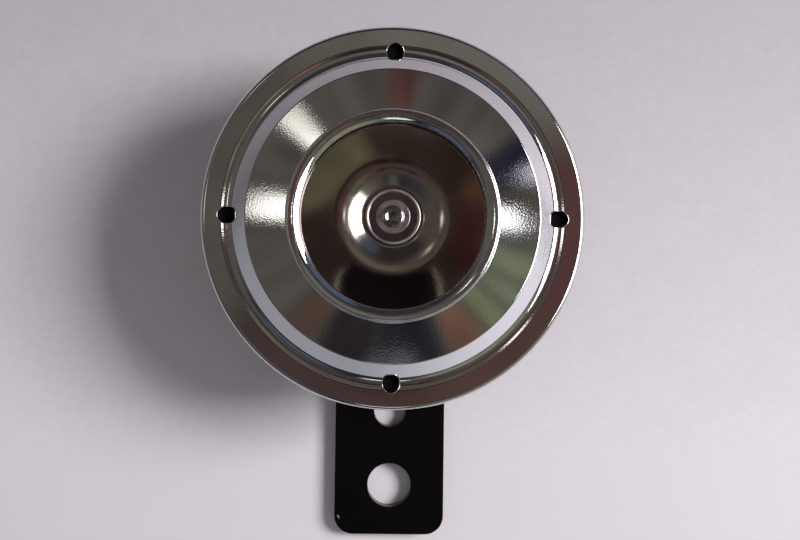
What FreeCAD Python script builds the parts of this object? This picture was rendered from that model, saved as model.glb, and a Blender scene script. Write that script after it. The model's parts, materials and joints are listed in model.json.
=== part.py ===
import FreeCAD, Part

import math
import os
from types import SimpleNamespace

import Sketcher

# A disc horn lying on its back: +Z is the horn's axis and +Y runs from the bracket's end to the horn.
# The origin is the middle of the bracket's large hole, on the face that seats on a vehicle.
# Lengths are in millimetres and angles in degrees.

SIZES = {
    # Mounting bracket, a joggled strip
    "bracket_width": 22.5,
    "bracket_wall": 2.5,
    "bracket_end": 10.1,
    "bracket_corner": 3.8,
    "bracket_bend": 4.0,
    "large_hole_radius": 4.5,
    "small_hole_radius": 3.3,
    "hole_spacing": 15.35,
    "hole_to_axis": 53.5,
    "joggle_start": 31.5,
    "joggle_end": 21.5,
    "stud_play": 0.25,
    # Nut and spring washer on the stud
    "nut_flats": 13.0,
    "nut_height": 4.0,
    "nut_chamfer": 0.8,
    "lock_washer_radius": 6.6,
    "lock_washer_height": 2.0,
    "lock_washer_gap": 1.2,
    "lock_washer_slant": 20.0,
    # Core and stud, turned in one piece
    "stud_radius": 3.95,
    "stud_tip": 0.5,
    "stud_chamfer": 0.7,
    "core_base_inset": 2.8,
    "core_base_height": 1.5,
    "core_radius": 6.0,
    "core_height": 8.0,
    # Coil on its bobbin
    "bobbin_wall": 0.9,
    "bobbin_radius": 14.8,
    "bobbin_height": 7.4,
    "winding_inset": 0.5,
    "retainer_radius": 9.0,
    "retainer_wall": 0.4,
    # Housing, a stepped pan
    "housing_wall": 1.0,
    "coil_clearance": 3.2,
    "shelf_margin": 1.7,
    "cup_corner": 2.6,
    "step_corner": 1.4,
    "flange_width": 5.4,
    "shoulder_corner": 2.2,
    "flange_corner": 1.3,
    "flange_clearance": 0.3,
    # Diaphragm and its gaskets
    "gasket_wall": 0.5,
    "gasket_width": 5.2,
    "diaphragm_wall": 0.3,
    # Front cover
    "cover_wall": 0.8,
    "rim_corner": 0.9,
    "hem_corner": 1.0,
    "hem_width": 2.8,
    "rim_rise": 0.45,
    "rim_width": 3.85,
    "crease_corner": 0.3,
    "groove_slope": 0.4,
    "groove_width": 1.4,
    "groove_outer_corner": 0.4,
    "groove_inner_corner": 1.6,
    "wall_width": 2.9,
    "wall_rise": 2.8,
    "edge_corner": 0.45,
    "cone_width": 7.45,
    "cone_rise": 0.95,
    "lip_foot": 0.25,
    "lip_rise": 1.15,
    "lip_width": 2.1,
    "lip_outer_corner": 0.7,
    "lip_inner_corner": 1.15,
    "lip_depth": 2.0,
    "vent_inset": 0.9,
    "vent_half_width": 1.7,
    "vent_foot": 1.75,
    "vent_shoulder": 0.6,
    "vent_tip": 2.15,
    "vent_foot_corner": 0.7,
    "vent_shoulder_corner": 1.1,
    "vent_tip_corner": 1.3,
    # Armature with its stem
    "air_gap": 0.8,
    "armature_radius": 8.0,
    "collar_drop": 1.0,
    "collar_height": 1.0,
    "arm_play": 0.2,
    "arm_tip_gap": 0.5,
    "arm_overlap": 1.7,
    "shoulder_land": 5.0,
    "stem_radius": 2.0,
    "stem_play": 0.1,
    "stem_head_width": 1.1,
    "stem_head_height": 0.2,
    "stem_crown_radius": 1.95,
    "stem_crown_height": 0.45,
    "stem_crown_corner": 0.25,
    "stem_dimple_radius": 1.4,
    "stem_dimple_depth": 0.35,
    # Spacer, tone disc and washer on the stem
    "spacer_radius": 5.0,
    "spacer_height": 1.2,
    "disc_clearance": 3.5,
    "disc_wall": 0.8,
    "disc_hub_margin": 0.9,
    "disc_funnel_width": 3.2,
    "disc_rise": 1.3,
    "disc_hub_corner": 4.2,
    "disc_funnel_corner": 13.0,
    "disc_edge_width": 1.8,
    "disc_edge_drop": 1.0,
    "disc_edge_corner": 1.2,
    "disc_washer_radius": 5.0,
    "disc_washer_height": 0.5,
    "washer_rim_width": 0.4,
    "washer_dish_slope": 0.15,
    "washer_dish_depth": 0.25,
    "washer_edge_corner": 0.12,
    # Contact stack on the shelf
    "stack_wall_gap": 2.4,
    "stack_half_length": 2.7,
    "stack_half_width": 3.6,
    "stack_corner": 0.8,
    "stack_rivet_offset": 2.0,
    "stack_rivet_radius": 1.1,
    "stack_head_width": 0.4,
    "rivet_head_height": 0.6,
    "rivet_play": 0.1,
    "lower_insulator_wall": 2.2,
    "middle_insulator_wall": 1.6,
    "upper_insulator_wall": 0.8,
    "stack_clearance": 0.5,
    "support_wall": 1.0,
    "support_overhang": 4.8,
    "arm_wall": 0.4,
    "arm_inset": 0.1,
    "contact_margin": 0.1,
    "contact_radius": 1.4,
    # Adjusting screw under the ear of the contact support
    "adjuster_shift": 1.8,
    "adjuster_y": 10.4,
    "adjuster_radius": 1.95,
    "adjuster_play": 0.05,
    "adjuster_length": 11.6,
    "adjuster_seat": 0.1,
    "adjuster_slot_width": 0.8,
    "adjuster_slot_depth": 1.2,
    "ear_half_width": 2.0,
    "ear_overhang": 2.2,
    "bush_wall": 0.7,
    "bush_flange_width": 0.7,
    "bush_flange_height": 1.4,
    "bush_inner_height": 0.4,
    "bush_play": 0.05,
    "locknut_flats": 7.0,
    "locknut_height": 2.2,
    "locknut_chamfer": 0.4,
    # Terminals on their insulating plates
    "terminal_x": 7.0,
    "board_margin": 1.32,
    "terminal_width": 6.3,
    "terminal_wall": 0.8,
    "terminal_foot": 2.7,
    "terminal_joggle": 1.6,
    "terminal_joggle_run": 1.4,
    "terminal_bend": 0.9,
    "terminal_blade": 7.6,
    "terminal_point": 1.0,
    "terminal_hole_radius": 0.9,
    "terminal_hole_inset": 3.2,
    "board_end": 4.4,
    "board_half_width": 3.0,
    "board_corner": 1.5,
    "board_wall": 1.5,
    "inner_board_end": 2.4,
    "inner_board_half_width": 2.1,
    "inner_board_corner": 1.6,
    "inner_board_wall": 1.0,
    "collar_wall": 1.0,
    "terminal_rivet_radius": 1.3,
    "terminal_head_width": 0.9,
    # Connecting wires
    "lead_radius": 0.35,
    "lead_bend": 0.9,
    "lead_rise": 2.0,
    "lead_start_depth": 2.5,
}

# Counts, whole turns and what doesn't grow with the horn
VENT_COUNT = 4
NUT_SIDES = 6
FULL_TURN = 360.0
RIGHT_ANGLE = 90.0
OVERSHOOT = 1.0
SMALLEST_ROUNDING = 0.2

# Directions of the wires' ends round the horn's axis
LEFT_LEAD_ANGLE = 120.0
CONTACT_LEAD_ANGLE = 38.0
ARM_LEAD_ANGLES = (31.0, 47.0, 62.0)

X_AXIS = FreeCAD.Vector(1, 0, 0)
Y_AXIS = FreeCAD.Vector(0, 1, 0)
Z_AXIS = FreeCAD.Vector(0, 0, 1)

# Sketch points on an axis of the sketch are written with this mark
ON_AXIS = None
SKETCH_ORIGIN = (-1, 1)
HORIZONTAL_AXIS_INDEX = -1
VERTICAL_AXIS_INDEX = -2

doc = FreeCAD.newDocument("disc_horn")
sizes_sheet = doc.addObject("Spreadsheet::Sheet", "Sizes")
places_sheet = doc.addObject("Spreadsheet::Sheet", "Places")


class Length:
    """A size with its value and the sheet expression that it comes from."""

    def __init__(self, text, value):
        self.text = text
        self.value = value

    def __add__(self, other):
        other = as_length(other)
        return Length(f"({self.text} + {other.text})", self.value + other.value)

    def __sub__(self, other):
        other = as_length(other)
        return Length(f"({self.text} - {other.text})", self.value - other.value)

    def __mul__(self, other):
        other = as_length(other)
        return Length(f"({self.text} * {other.text})", self.value * other.value)

    def __truediv__(self, other):
        other = as_length(other)
        return Length(f"({self.text} / {other.text})", self.value / other.value)

    def __neg__(self):
        return Length(f"(-{self.text})", -self.value)


def as_length(number):
    return number if isinstance(number, Length) else Length(str(number), number)


def fill_sizes():
    """Write the driving sizes to their sheet and give them back by name."""
    for row, (alias, value) in enumerate(SIZES.items(), start=1):
        sizes_sheet.set(f"A{row}", alias)
        sizes_sheet.set(f"B{row}", str(value))
        sizes_sheet.setAlias(f"B{row}", alias)
    return SimpleNamespace(**{name: Length(f"Sizes.{name}", value) for name, value in SIZES.items()})


def chord(radius, across):
    """How far from the centre a line reaches a circle, when it runs that far beside the centre."""
    square = radius * radius - across * across
    return Length(f"sqrt({square.text})", math.sqrt(square.value))


place_count = 0


def place(alias, length):
    """Keep a worked-out place as a formula in the second sheet."""
    global place_count
    place_count += 1
    places_sheet.set(f"A{place_count}", alias)
    places_sheet.set(f"B{place_count}", "=" + length.text)
    places_sheet.setAlias(f"B{place_count}", alias)
    return Length(f"Places.{alias}", length.value)


# Sketches

def origin_plane(body, role):
    return next(item for item in body.Origin.OriginFeatures if item.Role == role)


def body_sketch(body, name, role, height=None):
    sketch = body.newObject("Sketcher::SketchObject", name)
    sketch.AttachmentSupport = [(origin_plane(body, role), "")]
    sketch.MapMode = "FlatFace"
    if height is not None:
        sketch.setExpression("AttachmentOffset.Base.z", height.text)
    return sketch


def upright_sketch(name):
    """A free sketch whose x is the radius and whose y is the height."""
    sketch = doc.addObject("Sketcher::SketchObject", name)
    sketch.Placement = FreeCAD.Placement(FreeCAD.Vector(), FreeCAD.Rotation(X_AXIS, RIGHT_ANGLE))
    return sketch


def side_sketch(name):
    """A free sketch in the YZ plane, whose x is the part's Y and whose y is the height."""
    sketch = doc.addObject("Sketcher::SketchObject", name)
    upright = FreeCAD.Rotation(X_AXIS, RIGHT_ANGLE)
    sideways = FreeCAD.Rotation(Z_AXIS, RIGHT_ANGLE).multiply(upright)
    sketch.Placement = FreeCAD.Placement(FreeCAD.Vector(), sideways)
    return sketch


def flat_sketch(name):
    return doc.addObject("Sketcher::SketchObject", name)


def corner_value(length):
    return 0.0 if length is ON_AXIS else length.value


def pin_point(sketch, geometry, position, x, y):
    """Hold a point of a sketch at its place, bound to the sheets."""
    directions = ((x, "DistanceX", VERTICAL_AXIS_INDEX), (y, "DistanceY", HORIZONTAL_AXIS_INDEX))
    for length, kind, axis in directions:
        if length is ON_AXIS:
            sketch.addConstraint(Sketcher.Constraint("PointOnObject", geometry, position, axis))
            continue
        distance = Sketcher.Constraint(kind, *SKETCH_ORIGIN, geometry, position, length.value)
        index = sketch.addConstraint(distance)
        sketch.setExpression(f"Constraints[{index}]", length.text)


def corner_arc(point, before, after, radius):
    """The tangent points, centre and sense of the arc that rounds a corner."""
    back = (before - point).normalize()
    ahead = (after - point).normalize()
    half_angle = back.getAngle(ahead) / 2
    run = radius / math.tan(half_angle)
    centre = point + (back + ahead).normalize() * (radius / math.sin(half_angle))
    first = point + back * run
    last = point + ahead * run
    turns_left = (first - centre).cross(last - centre).z > 0
    return first, last, centre, turns_left


def corner_points(corners):
    return [FreeCAD.Vector(corner_value(corner[0]), corner_value(corner[1]), 0) for corner in corners]


def draw_lines(sketch, points, arcs, closed):
    """The straight lines between the points, shortened where an arc rounds a corner."""
    lines = []
    count = len(points)
    for index in range(count if closed else count - 1):
        following = (index + 1) % count
        start = arcs[index][1] if index in arcs else points[index]
        end = arcs[following][0] if following in arcs else points[following]
        lines.append(sketch.addGeometry(Part.LineSegment(start, end), False))
    return lines


def corner_arcs(points, roundings):
    """The arc of each rounded corner, by the corner's number."""
    count = len(points)
    return {
        index: corner_arc(points[index], points[index - 1], points[(index + 1) % count], rounding.value)
        for index, rounding in roundings.items()
    }


def join_by_arc(sketch, before, after, arc, rounding):
    """Put a tangent arc between two lines."""
    first, last, centre, turns_left = arc
    circle = Part.Circle(centre, Z_AXIS, rounding.value)
    angles = [math.atan2(end.y - centre.y, end.x - centre.x) for end in (first, last)]
    if turns_left:
        geometry = sketch.addGeometry(Part.ArcOfCircle(circle, angles[0], angles[1]), False)
        joins = ((before, 2, geometry, 1), (after, 1, geometry, 2))
    else:
        geometry = sketch.addGeometry(Part.ArcOfCircle(circle, angles[1], angles[0]), False)
        joins = ((before, 2, geometry, 2), (after, 1, geometry, 1))
    for join in joins:
        sketch.addConstraint(Sketcher.Constraint("Tangent", *join))
    index = sketch.addConstraint(Sketcher.Constraint("Radius", geometry, rounding.value))
    sketch.setExpression(f"Constraints[{index}]", rounding.text)


def draw_outline(sketch, corners, closed=True):
    """Straight lines through the corners, each (x, y) or (x, y, rounding), fully constrained."""
    points = corner_points(corners)
    roundings = {index: corner[2] for index, corner in enumerate(corners) if len(corner) > 2}
    arcs = corner_arcs(points, roundings)
    lines = draw_lines(sketch, points, arcs, closed)
    last = len(corners) - 1
    for index, corner in enumerate(corners):
        inner = closed or 0 < index < last
        if index in arcs:
            join_by_arc(sketch, lines[index - 1], lines[index], arcs[index], roundings[index])
            mark = sketch.addGeometry(Part.Point(points[index]), True)
            for line in (lines[index - 1], lines[index]):
                sketch.addConstraint(Sketcher.Constraint("PointOnObject", mark, 1, line))
            pin_point(sketch, mark, 1, corner[0], corner[1])
            continue
        if inner:
            sketch.addConstraint(Sketcher.Constraint("Coincident", lines[index - 1], 2, lines[index], 1))
        if index < len(lines):
            pin_point(sketch, lines[index], 1, corner[0], corner[1])
        else:
            pin_point(sketch, lines[index - 1], 2, corner[0], corner[1])
    return lines


def draw_sheet(sketch, corners, wall):
    """A sheet's section: the given line, and a second line one wall to the left of its travel."""
    outer = draw_outline(sketch, corners, closed=False)
    points = corner_points(corners)
    ways = [(after - before).normalize() for before, after in zip(points, points[1:])]
    sides = [FreeCAD.Vector(-way.y, way.x, 0) for way in ways]
    inner_points = [points[0] + sides[0] * wall.value]
    roundings = {}
    for index in range(1, len(points) - 1):
        before, after = sides[index - 1], sides[index]
        inner_points.append(points[index] + (before + after) * (wall.value / (1 + before.dot(after))))
        rounding = corners[index][2]
        turns_left = ways[index - 1].cross(ways[index]).z > 0
        inner_rounding = rounding - wall if turns_left else rounding + wall
        if inner_rounding.value > SMALLEST_ROUNDING:
            roundings[index] = inner_rounding
    inner_points.append(points[-1] + sides[-1] * wall.value)
    arcs = corner_arcs(inner_points, roundings)
    inner = draw_lines(sketch, inner_points, arcs, closed=False)
    for index in range(1, len(inner)):
        if index in arcs:
            join_by_arc(sketch, inner[index - 1], inner[index], arcs[index], roundings[index])
        else:
            sketch.addConstraint(Sketcher.Constraint("Coincident", inner[index - 1], 2, inner[index], 1))
    for inner_line, outer_line in zip(inner, outer):
        sketch.addConstraint(Sketcher.Constraint("Parallel", inner_line, outer_line))
        index = sketch.addConstraint(Sketcher.Constraint("Distance", inner_line, 1, outer_line, wall.value))
        sketch.setExpression(f"Constraints[{index}]", wall.text)
    for end, place_in_line in ((0, 1), (-1, 2)):
        cap = sketch.addGeometry(Part.LineSegment(points[end], inner_points[end]), False)
        sketch.addConstraint(Sketcher.Constraint("Coincident", cap, 1, outer[end], place_in_line))
        sketch.addConstraint(Sketcher.Constraint("Coincident", cap, 2, inner[end], place_in_line))
        sketch.addConstraint(Sketcher.Constraint("Perpendicular", cap, outer[end]))


def draw_circle(sketch, x, y, radius):
    centre = FreeCAD.Vector(corner_value(x), corner_value(y), 0)
    geometry = sketch.addGeometry(Part.Circle(centre, Z_AXIS, radius.value), False)
    index = sketch.addConstraint(Sketcher.Constraint("Radius", geometry, radius.value))
    sketch.setExpression(f"Constraints[{index}]", radius.text)
    pin_point(sketch, geometry, 3, x, y)


# Ways of making a piece

nodes = []


def keep(piece, label):
    """Give a finished piece its name and its place in the part's frame."""
    piece.Label = label
    piece.setExpression("Placement.Base.y", size.hole_to_axis.text)
    nodes.append(piece)
    return piece


def turned(name, corners):
    """A turned piece: a closed half section revolved about the horn's axis."""
    body = doc.addObject("PartDesign::Body", name)
    section = body_sketch(body, f"{name}_section", "XZ_Plane")
    draw_outline(section, corners)
    return revolved(body, section)


def pressed(name, corners, wall):
    """A round piece pressed from sheet: the section of its wall revolved about the horn's axis."""
    body = doc.addObject("PartDesign::Body", name)
    section = body_sketch(body, f"{name}_section", "XZ_Plane")
    draw_sheet(section, corners, wall)
    return revolved(body, section)


def revolved(body, section):
    revolution = body.newObject("PartDesign::Revolution", f"{body.Name}_revolution")
    revolution.Profile = section
    revolution.ReferenceAxis = (section, ["V_Axis"])
    revolution.Angle = FULL_TURN
    body.Tip = revolution
    return body


def plate(name, corners, height, wall, holes=()):
    """A flat piece: an outline with round holes, padded to its thickness."""
    body = doc.addObject("PartDesign::Body", name)
    outline = body_sketch(body, f"{name}_outline", "XY_Plane", height)
    draw_outline(outline, corners)
    for hole in holes:
        draw_circle(outline, *hole)
    pad = body.newObject("PartDesign::Pad", f"{name}_pad")
    pad.Profile = outline
    pad.setExpression("Length", wall.text)
    body.Tip = pad
    return body


def lathe(name, corners, x=None, y=None):
    """A closed half section revolved about an upright axis at x, y."""
    section = upright_sketch(f"{name}_section")
    draw_outline(section, corners)
    piece = doc.addObject("Part::Revolution", name)
    piece.Source = section
    piece.Axis = Z_AXIS
    piece.Angle = FULL_TURN
    piece.Solid = True
    move_to(piece, x, y)
    return piece


def move_to(piece, x, y):
    if x is not None:
        piece.setExpression("Placement.Base.x", x.text)
    if y is not None:
        piece.setExpression("Placement.Base.y", y.text)


def folded_strip(name, corners, wall, width):
    """A strip bent in its side view, as wide as given and centred on the YZ plane."""
    section = side_sketch(f"{name}_section")
    draw_sheet(section, corners, wall)
    strip = doc.addObject("Part::Extrusion", name)
    strip.Base = section
    strip.DirMode = "Custom"
    strip.Dir = X_AXIS
    strip.Symmetric = True
    strip.Solid = True
    strip.setExpression("LengthFwd", width.text)
    return strip


def punch(name, corners, bottom, height):
    """An upright prism of the given outline."""
    outline = flat_sketch(f"{name}_outline")
    draw_outline(outline, corners)
    prism = doc.addObject("Part::Extrusion", name)
    prism.Base = outline
    prism.DirMode = "Custom"
    prism.Dir = Z_AXIS
    prism.Solid = True
    prism.setExpression("LengthFwd", height.text)
    prism.setExpression("Placement.Base.z", bottom.text)
    return prism


def cylinder(name, x, y, bottom, radius, height):
    piece = doc.addObject("Part::Cylinder", name)
    piece.setExpression("Radius", radius.text)
    piece.setExpression("Height", height.text)
    piece.setExpression("Placement.Base.z", bottom.text)
    move_to(piece, x, y)
    return piece


def cut(name, base, tools):
    """Take the tools away from the base."""
    piece = doc.addObject("Part::Cut", name)
    piece.Base = base
    piece.Tool = tools[0] if len(tools) == 1 else fuse(f"{name}_tools", tools)
    return piece


def fuse(name, shapes):
    piece = doc.addObject("Part::MultiFuse", name)
    piece.Shapes = shapes
    return piece


def common(name, shapes):
    piece = doc.addObject("Part::MultiCommon", name)
    piece.Shapes = shapes
    return piece


def group(name, shapes):
    piece = doc.addObject("Part::Compound", name)
    piece.Links = shapes
    return piece


def box_outline(x_low, x_high, y_low, y_high, corner=None):
    places = ((x_low, y_low), (x_high, y_low), (x_high, y_high), (x_low, y_high))
    return [spot + (corner,) if corner is not None else spot for spot in places]


def ring_section(inner, outer, bottom, top):
    return [(inner, bottom), (outer, bottom), (outer, top), (inner, top)]


def hex_nut(name, flats, bore, bottom, height, chamfer, x=None, y=None):
    """A six-sided nut with both ends chamfered."""
    corner = Length(f"({flats.text} / sqrt(3))", flats.value / math.sqrt(3))
    prism = doc.addObject("Part::Prism", f"{name}_prism")
    prism.Polygon = NUT_SIDES
    prism.setExpression("Circumradius", corner.text)
    prism.setExpression("Height", height.text)
    prism.setExpression("Placement.Base.z", bottom.text)
    move_to(prism, x, y)
    land = corner - chamfer
    top = bottom + height
    slope = chamfer / 2
    rounding = [(bore, bottom), (land, bottom), (corner, bottom + slope), (corner, top - slope),
                (land, top), (bore, top)]
    return common(name, [prism, lathe(f"{name}_rounding", rounding, x, y)])


size = fill_sizes()

# Heights of the stack, from the surface that the horn lies on

floor = place("floor_height", as_length(0.0))
nut_top = place("nut_top", floor + size.nut_height)
bracket_step = place("bracket_step", nut_top + size.lock_washer_height)
housing_back = place("housing_back", bracket_step + size.bracket_wall)
housing_floor = place("housing_floor", housing_back + size.housing_wall)
core_shoulder = place("core_shoulder", housing_floor + size.core_base_height)
pole_top = place("pole_top", core_shoulder + size.core_height)
bobbin_top = place("bobbin_top", core_shoulder + size.bobbin_height)

# The leaf lies just behind the armature's collar, and the pan's shelf just behind the stack

armature_back = place("armature_back", pole_top + size.air_gap)
collar_back = place("collar_back", armature_back + size.collar_drop)
collar_front = place("collar_front", collar_back + size.collar_height)
arm_front = place("arm_front", collar_back - size.arm_play)
arm_back = place("arm_back", arm_front - size.arm_wall)
shelf_floor = place("shelf_floor", arm_back - size.lower_insulator_wall)
shelf_back = place("shelf_back", shelf_floor - size.housing_wall)
support_back = place("support_back", arm_front + size.middle_insulator_wall)
support_front = place("support_front", support_back + size.support_wall)
stack_front = place("stack_front", support_front + size.upper_insulator_wall)
contact_meeting = place("contact_meeting", (arm_front + support_back) / 2)

# The diaphragm lies clear of the stack's rivets, and the cover's groove presses on its gaskets

stack_top = place("stack_top", stack_front + size.rivet_head_height)
flange_top = place("flange_top", stack_top + size.stack_clearance)
flange_back = place("flange_back", flange_top - size.housing_wall)
diaphragm_back = place("diaphragm_back", flange_top + size.gasket_wall)
diaphragm_front = place("diaphragm_front", diaphragm_back + size.diaphragm_wall)
gasket_front = place("gasket_front", diaphragm_front + size.gasket_wall)
groove_front = place("groove_front", gasket_front + size.cover_wall)
rim_front = place("rim_front", groove_front + size.rim_rise)
cone_base = place("cone_base", groove_front + size.wall_rise)
cone_top = place("cone_top", cone_base + size.cone_rise)
lip_front = place("lip_front", cone_top + size.lip_rise)
hem_back = place("hem_back", flange_back - size.cover_wall)

# Heights on the armature's stem

spacer_front = place("spacer_front", diaphragm_front + size.spacer_height)
disc_front = place("disc_front", spacer_front + size.disc_wall)
washer_front = place("washer_front", disc_front + size.disc_washer_height)
washer_face = place("washer_face", washer_front - size.washer_dish_depth)
crown_foot = place("crown_foot", washer_face + size.stem_head_height)
stem_front = place("stem_front", crown_foot + size.stem_crown_height)

# Radii of the pan, from the coil outwards

core_base_radius = place("core_base_radius", size.bobbin_radius - size.core_base_inset)
stud_hole_radius = place("stud_hole_radius", size.stud_radius + size.stud_play)
cup_radius = place("cup_radius", size.bobbin_radius + size.coil_clearance + size.housing_wall)
stack_reach = place("stack_reach", cup_radius + size.shelf_margin + size.stack_half_length)
shoulder_radius = place("shoulder_radius", stack_reach + size.stack_half_length + size.stack_wall_gap)
flange_radius = place("flange_radius", shoulder_radius + size.flange_width)

# Radii of the cover, from the rim inwards

rim_radius = place("rim_radius", flange_radius + size.flange_clearance + size.cover_wall)
hem_radius = place("hem_radius", rim_radius - size.hem_width)
crease_radius = place("crease_radius", rim_radius - size.rim_width)
groove_outer = place("groove_outer", crease_radius - size.groove_slope)
groove_inner = place("groove_inner", groove_outer - size.groove_width)
edge_radius = place("edge_radius", groove_inner - size.wall_width)
lip_outer = place("lip_outer", edge_radius - size.cone_width)
lip_inner = place("lip_inner", lip_outer - size.lip_foot - size.lip_width)
gasket_outer = place("gasket_outer", flange_radius - size.flange_clearance)
gasket_inner = place("gasket_inner", gasket_outer - size.gasket_width)
vent_circle = place("vent_circle", crease_radius - size.vent_inset)

# Radii of the tone disc and the stem

stem_bore = place("stem_bore", size.stem_radius + size.stem_play)
stem_head_radius = place("stem_head_radius", size.stem_radius + size.stem_head_width)
disc_hub_radius = place("disc_hub_radius", size.disc_washer_radius + size.disc_hub_margin)
disc_funnel_radius = place("disc_funnel_radius", disc_hub_radius + size.disc_funnel_width)
disc_radius = place("disc_radius", edge_radius - size.disc_clearance)
arm_reach = place("arm_reach", size.armature_radius + size.arm_tip_gap)
collar_radius = place("collar_radius", arm_reach + size.arm_overlap)

# Places on the shelf

support_reach = place("support_reach", stack_reach - size.stack_half_length - size.support_overhang)
contact_reach = place("contact_reach", support_reach + size.contact_radius + size.contact_margin)
arm_half_width = place("arm_half_width", size.stack_half_width - size.arm_inset)
stack_head_radius = place("stack_head_radius", size.stack_rivet_radius + size.stack_head_width)
adjuster_x = place("adjuster_x", stack_reach - size.adjuster_shift)
adjuster_bore = place("adjuster_bore", size.adjuster_radius + size.adjuster_play)
bush_radius = place("bush_radius", adjuster_bore + size.bush_wall)
bush_flange_radius = place("bush_flange_radius", bush_radius + size.bush_flange_width)
board_half_length = place("board_half_length", size.terminal_x + size.board_end)
inner_board_half_length = place("inner_board_half_length", size.terminal_x + size.inner_board_end)
board_limit = place("board_limit", shoulder_radius - size.board_margin)
inner_board_side = place("inner_board_side", chord(board_limit, inner_board_half_length))
terminal_y = place("terminal_y", inner_board_side - size.inner_board_half_width)
terminal_head_radius = place("terminal_head_radius", size.terminal_rivet_radius + size.terminal_head_width)


# Front cover

def vent_outline():
    """A shield shape: flat towards the axis, round towards the rim."""
    foot = vent_circle - size.vent_foot
    shoulder = vent_circle + size.vent_shoulder
    side = size.vent_half_width
    return [
        (foot, side, size.vent_foot_corner),
        (foot, -side, size.vent_foot_corner),
        (shoulder, -side, size.vent_shoulder_corner),
        (vent_circle + size.vent_tip, ON_AXIS, size.vent_tip_corner),
        (shoulder, side, size.vent_shoulder_corner),
    ]


def make_front_cover():
    """One pressed sheet: hem, skirt, rim, groove, wall, cone and rolled lip, with four punched vents."""
    line = [
        (hem_radius, hem_back),
        (rim_radius, hem_back, size.hem_corner),
        (rim_radius, rim_front, size.rim_corner),
        (crease_radius, rim_front, size.crease_corner),
        (groove_outer, groove_front, size.groove_outer_corner),
        (groove_inner, groove_front, size.groove_inner_corner),
        (edge_radius, cone_base, size.edge_corner),
        (lip_outer, cone_top, size.crease_corner),
        (lip_outer - size.lip_foot, lip_front, size.lip_outer_corner),
        (lip_inner, lip_front, size.lip_inner_corner),
        (lip_inner, lip_front - size.lip_depth),
    ]
    blank = pressed("front_cover_blank", line, size.cover_wall)
    depth = cone_base - gasket_front
    vents = []
    for index in range(VENT_COUNT):
        vent = punch(f"vent_{index + 1}", vent_outline(), gasket_front, depth)
        vent.Placement.Rotation = FreeCAD.Rotation(Z_AXIS, index * FULL_TURN / VENT_COUNT)
        vents.append(vent)
    keep(cut("front_cover", blank, vents), "front_cover")


# Diaphragm and gaskets

def make_diaphragm():
    """The spring steel disc and the ring on each side of it."""
    keep(turned("diaphragm", ring_section(stem_bore, gasket_outer, diaphragm_back, diaphragm_front)),
         "diaphragm")
    keep(turned("rear_gasket", ring_section(gasket_inner, gasket_outer, flange_top, diaphragm_back)),
         "rear_gasket")
    keep(turned("front_gasket", ring_section(gasket_inner, gasket_outer, diaphragm_front, gasket_front)),
         "front_gasket")


# Armature, spacer, tone disc and washer

def make_armature():
    """Iron slug, collar and stem in one, with the stem's end spread over the washer and dimpled."""
    section = [
        (ON_AXIS, armature_back),
        (size.armature_radius, armature_back),
        (size.armature_radius, collar_back),
        (collar_radius, collar_back),
        (collar_radius, collar_front),
        (size.shoulder_land, collar_front),
        (size.shoulder_land, diaphragm_back),
        (size.stem_radius, diaphragm_back),
        (size.stem_radius, washer_face),
        (stem_head_radius, washer_face),
        (stem_head_radius, crown_foot),
        (size.stem_crown_radius, crown_foot),
        (size.stem_crown_radius, stem_front, size.stem_crown_corner),
        (size.stem_dimple_radius, stem_front),
        (ON_AXIS, stem_front - size.stem_dimple_depth),
    ]
    keep(turned("armature", section), "armature")


def make_spacer():
    section = ring_section(stem_bore, size.spacer_radius, diaphragm_front, spacer_front)
    keep(turned("spacer_collar", section), "spacer_collar")


def make_tone_disc():
    """A dished disc: flat hub, funnel, broad field and turned-down edge."""
    field = disc_front + size.disc_rise
    line = [
        (disc_radius, field - size.disc_edge_drop),
        (disc_radius - size.disc_edge_width, field, size.disc_edge_corner),
        (disc_funnel_radius, field, size.disc_funnel_corner),
        (disc_hub_radius, disc_front, size.disc_hub_corner),
        (stem_bore, disc_front),
    ]
    keep(pressed("tone_disc", line, size.disc_wall), "tone_disc")
    keep(turned("tone_disc_washer", washer_section()), "tone_disc_washer")


def washer_section():
    """A washer whose face is dished inside a narrow rim."""
    rim_inner = size.disc_washer_radius - size.washer_rim_width
    return [
        (stem_bore, disc_front),
        (size.disc_washer_radius, disc_front),
        (size.disc_washer_radius, washer_front, size.washer_edge_corner),
        (rim_inner, washer_front, size.washer_edge_corner),
        (rim_inner - size.washer_dish_slope, washer_face),
        (stem_bore, washer_face),
    ]


# Housing

def make_housing():
    """A stepped pan pressed from sheet, with a flange and the holes of its shelf."""
    bore = size.stud_radius + size.stem_play
    line = [
        (bore, housing_back),
        (cup_radius, housing_back, size.cup_corner),
        (cup_radius, shelf_back, size.step_corner),
        (shoulder_radius, shelf_back, size.shoulder_corner),
        (shoulder_radius, flange_back, size.flange_corner),
        (flange_radius, flange_back),
    ]
    pan = pressed("housing_pan", line, size.housing_wall)
    drill_back = shelf_back - OVERSHOOT
    drill_depth = size.housing_wall + OVERSHOOT * 2
    stack_hole = size.stack_rivet_radius + size.rivet_play
    terminal_hole = size.terminal_rivet_radius + size.rivet_play + size.collar_wall + size.rivet_play
    bush_hole = bush_radius + size.bush_play
    spots = [
        ("stack_hole_left", stack_reach, size.stack_rivet_offset, stack_hole),
        ("stack_hole_right", stack_reach, -size.stack_rivet_offset, stack_hole),
        ("terminal_hole_left", -size.terminal_x, terminal_y, terminal_hole),
        ("terminal_hole_right", size.terminal_x, terminal_y, terminal_hole),
        ("bush_hole", adjuster_x, -size.adjuster_y, bush_hole),
    ]
    drills = [cylinder(name, x, y, drill_back, radius, drill_depth) for name, x, y, radius in spots]
    keep(cut("housing", pan, drills), "housing")


# Core, bobbin and winding

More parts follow.
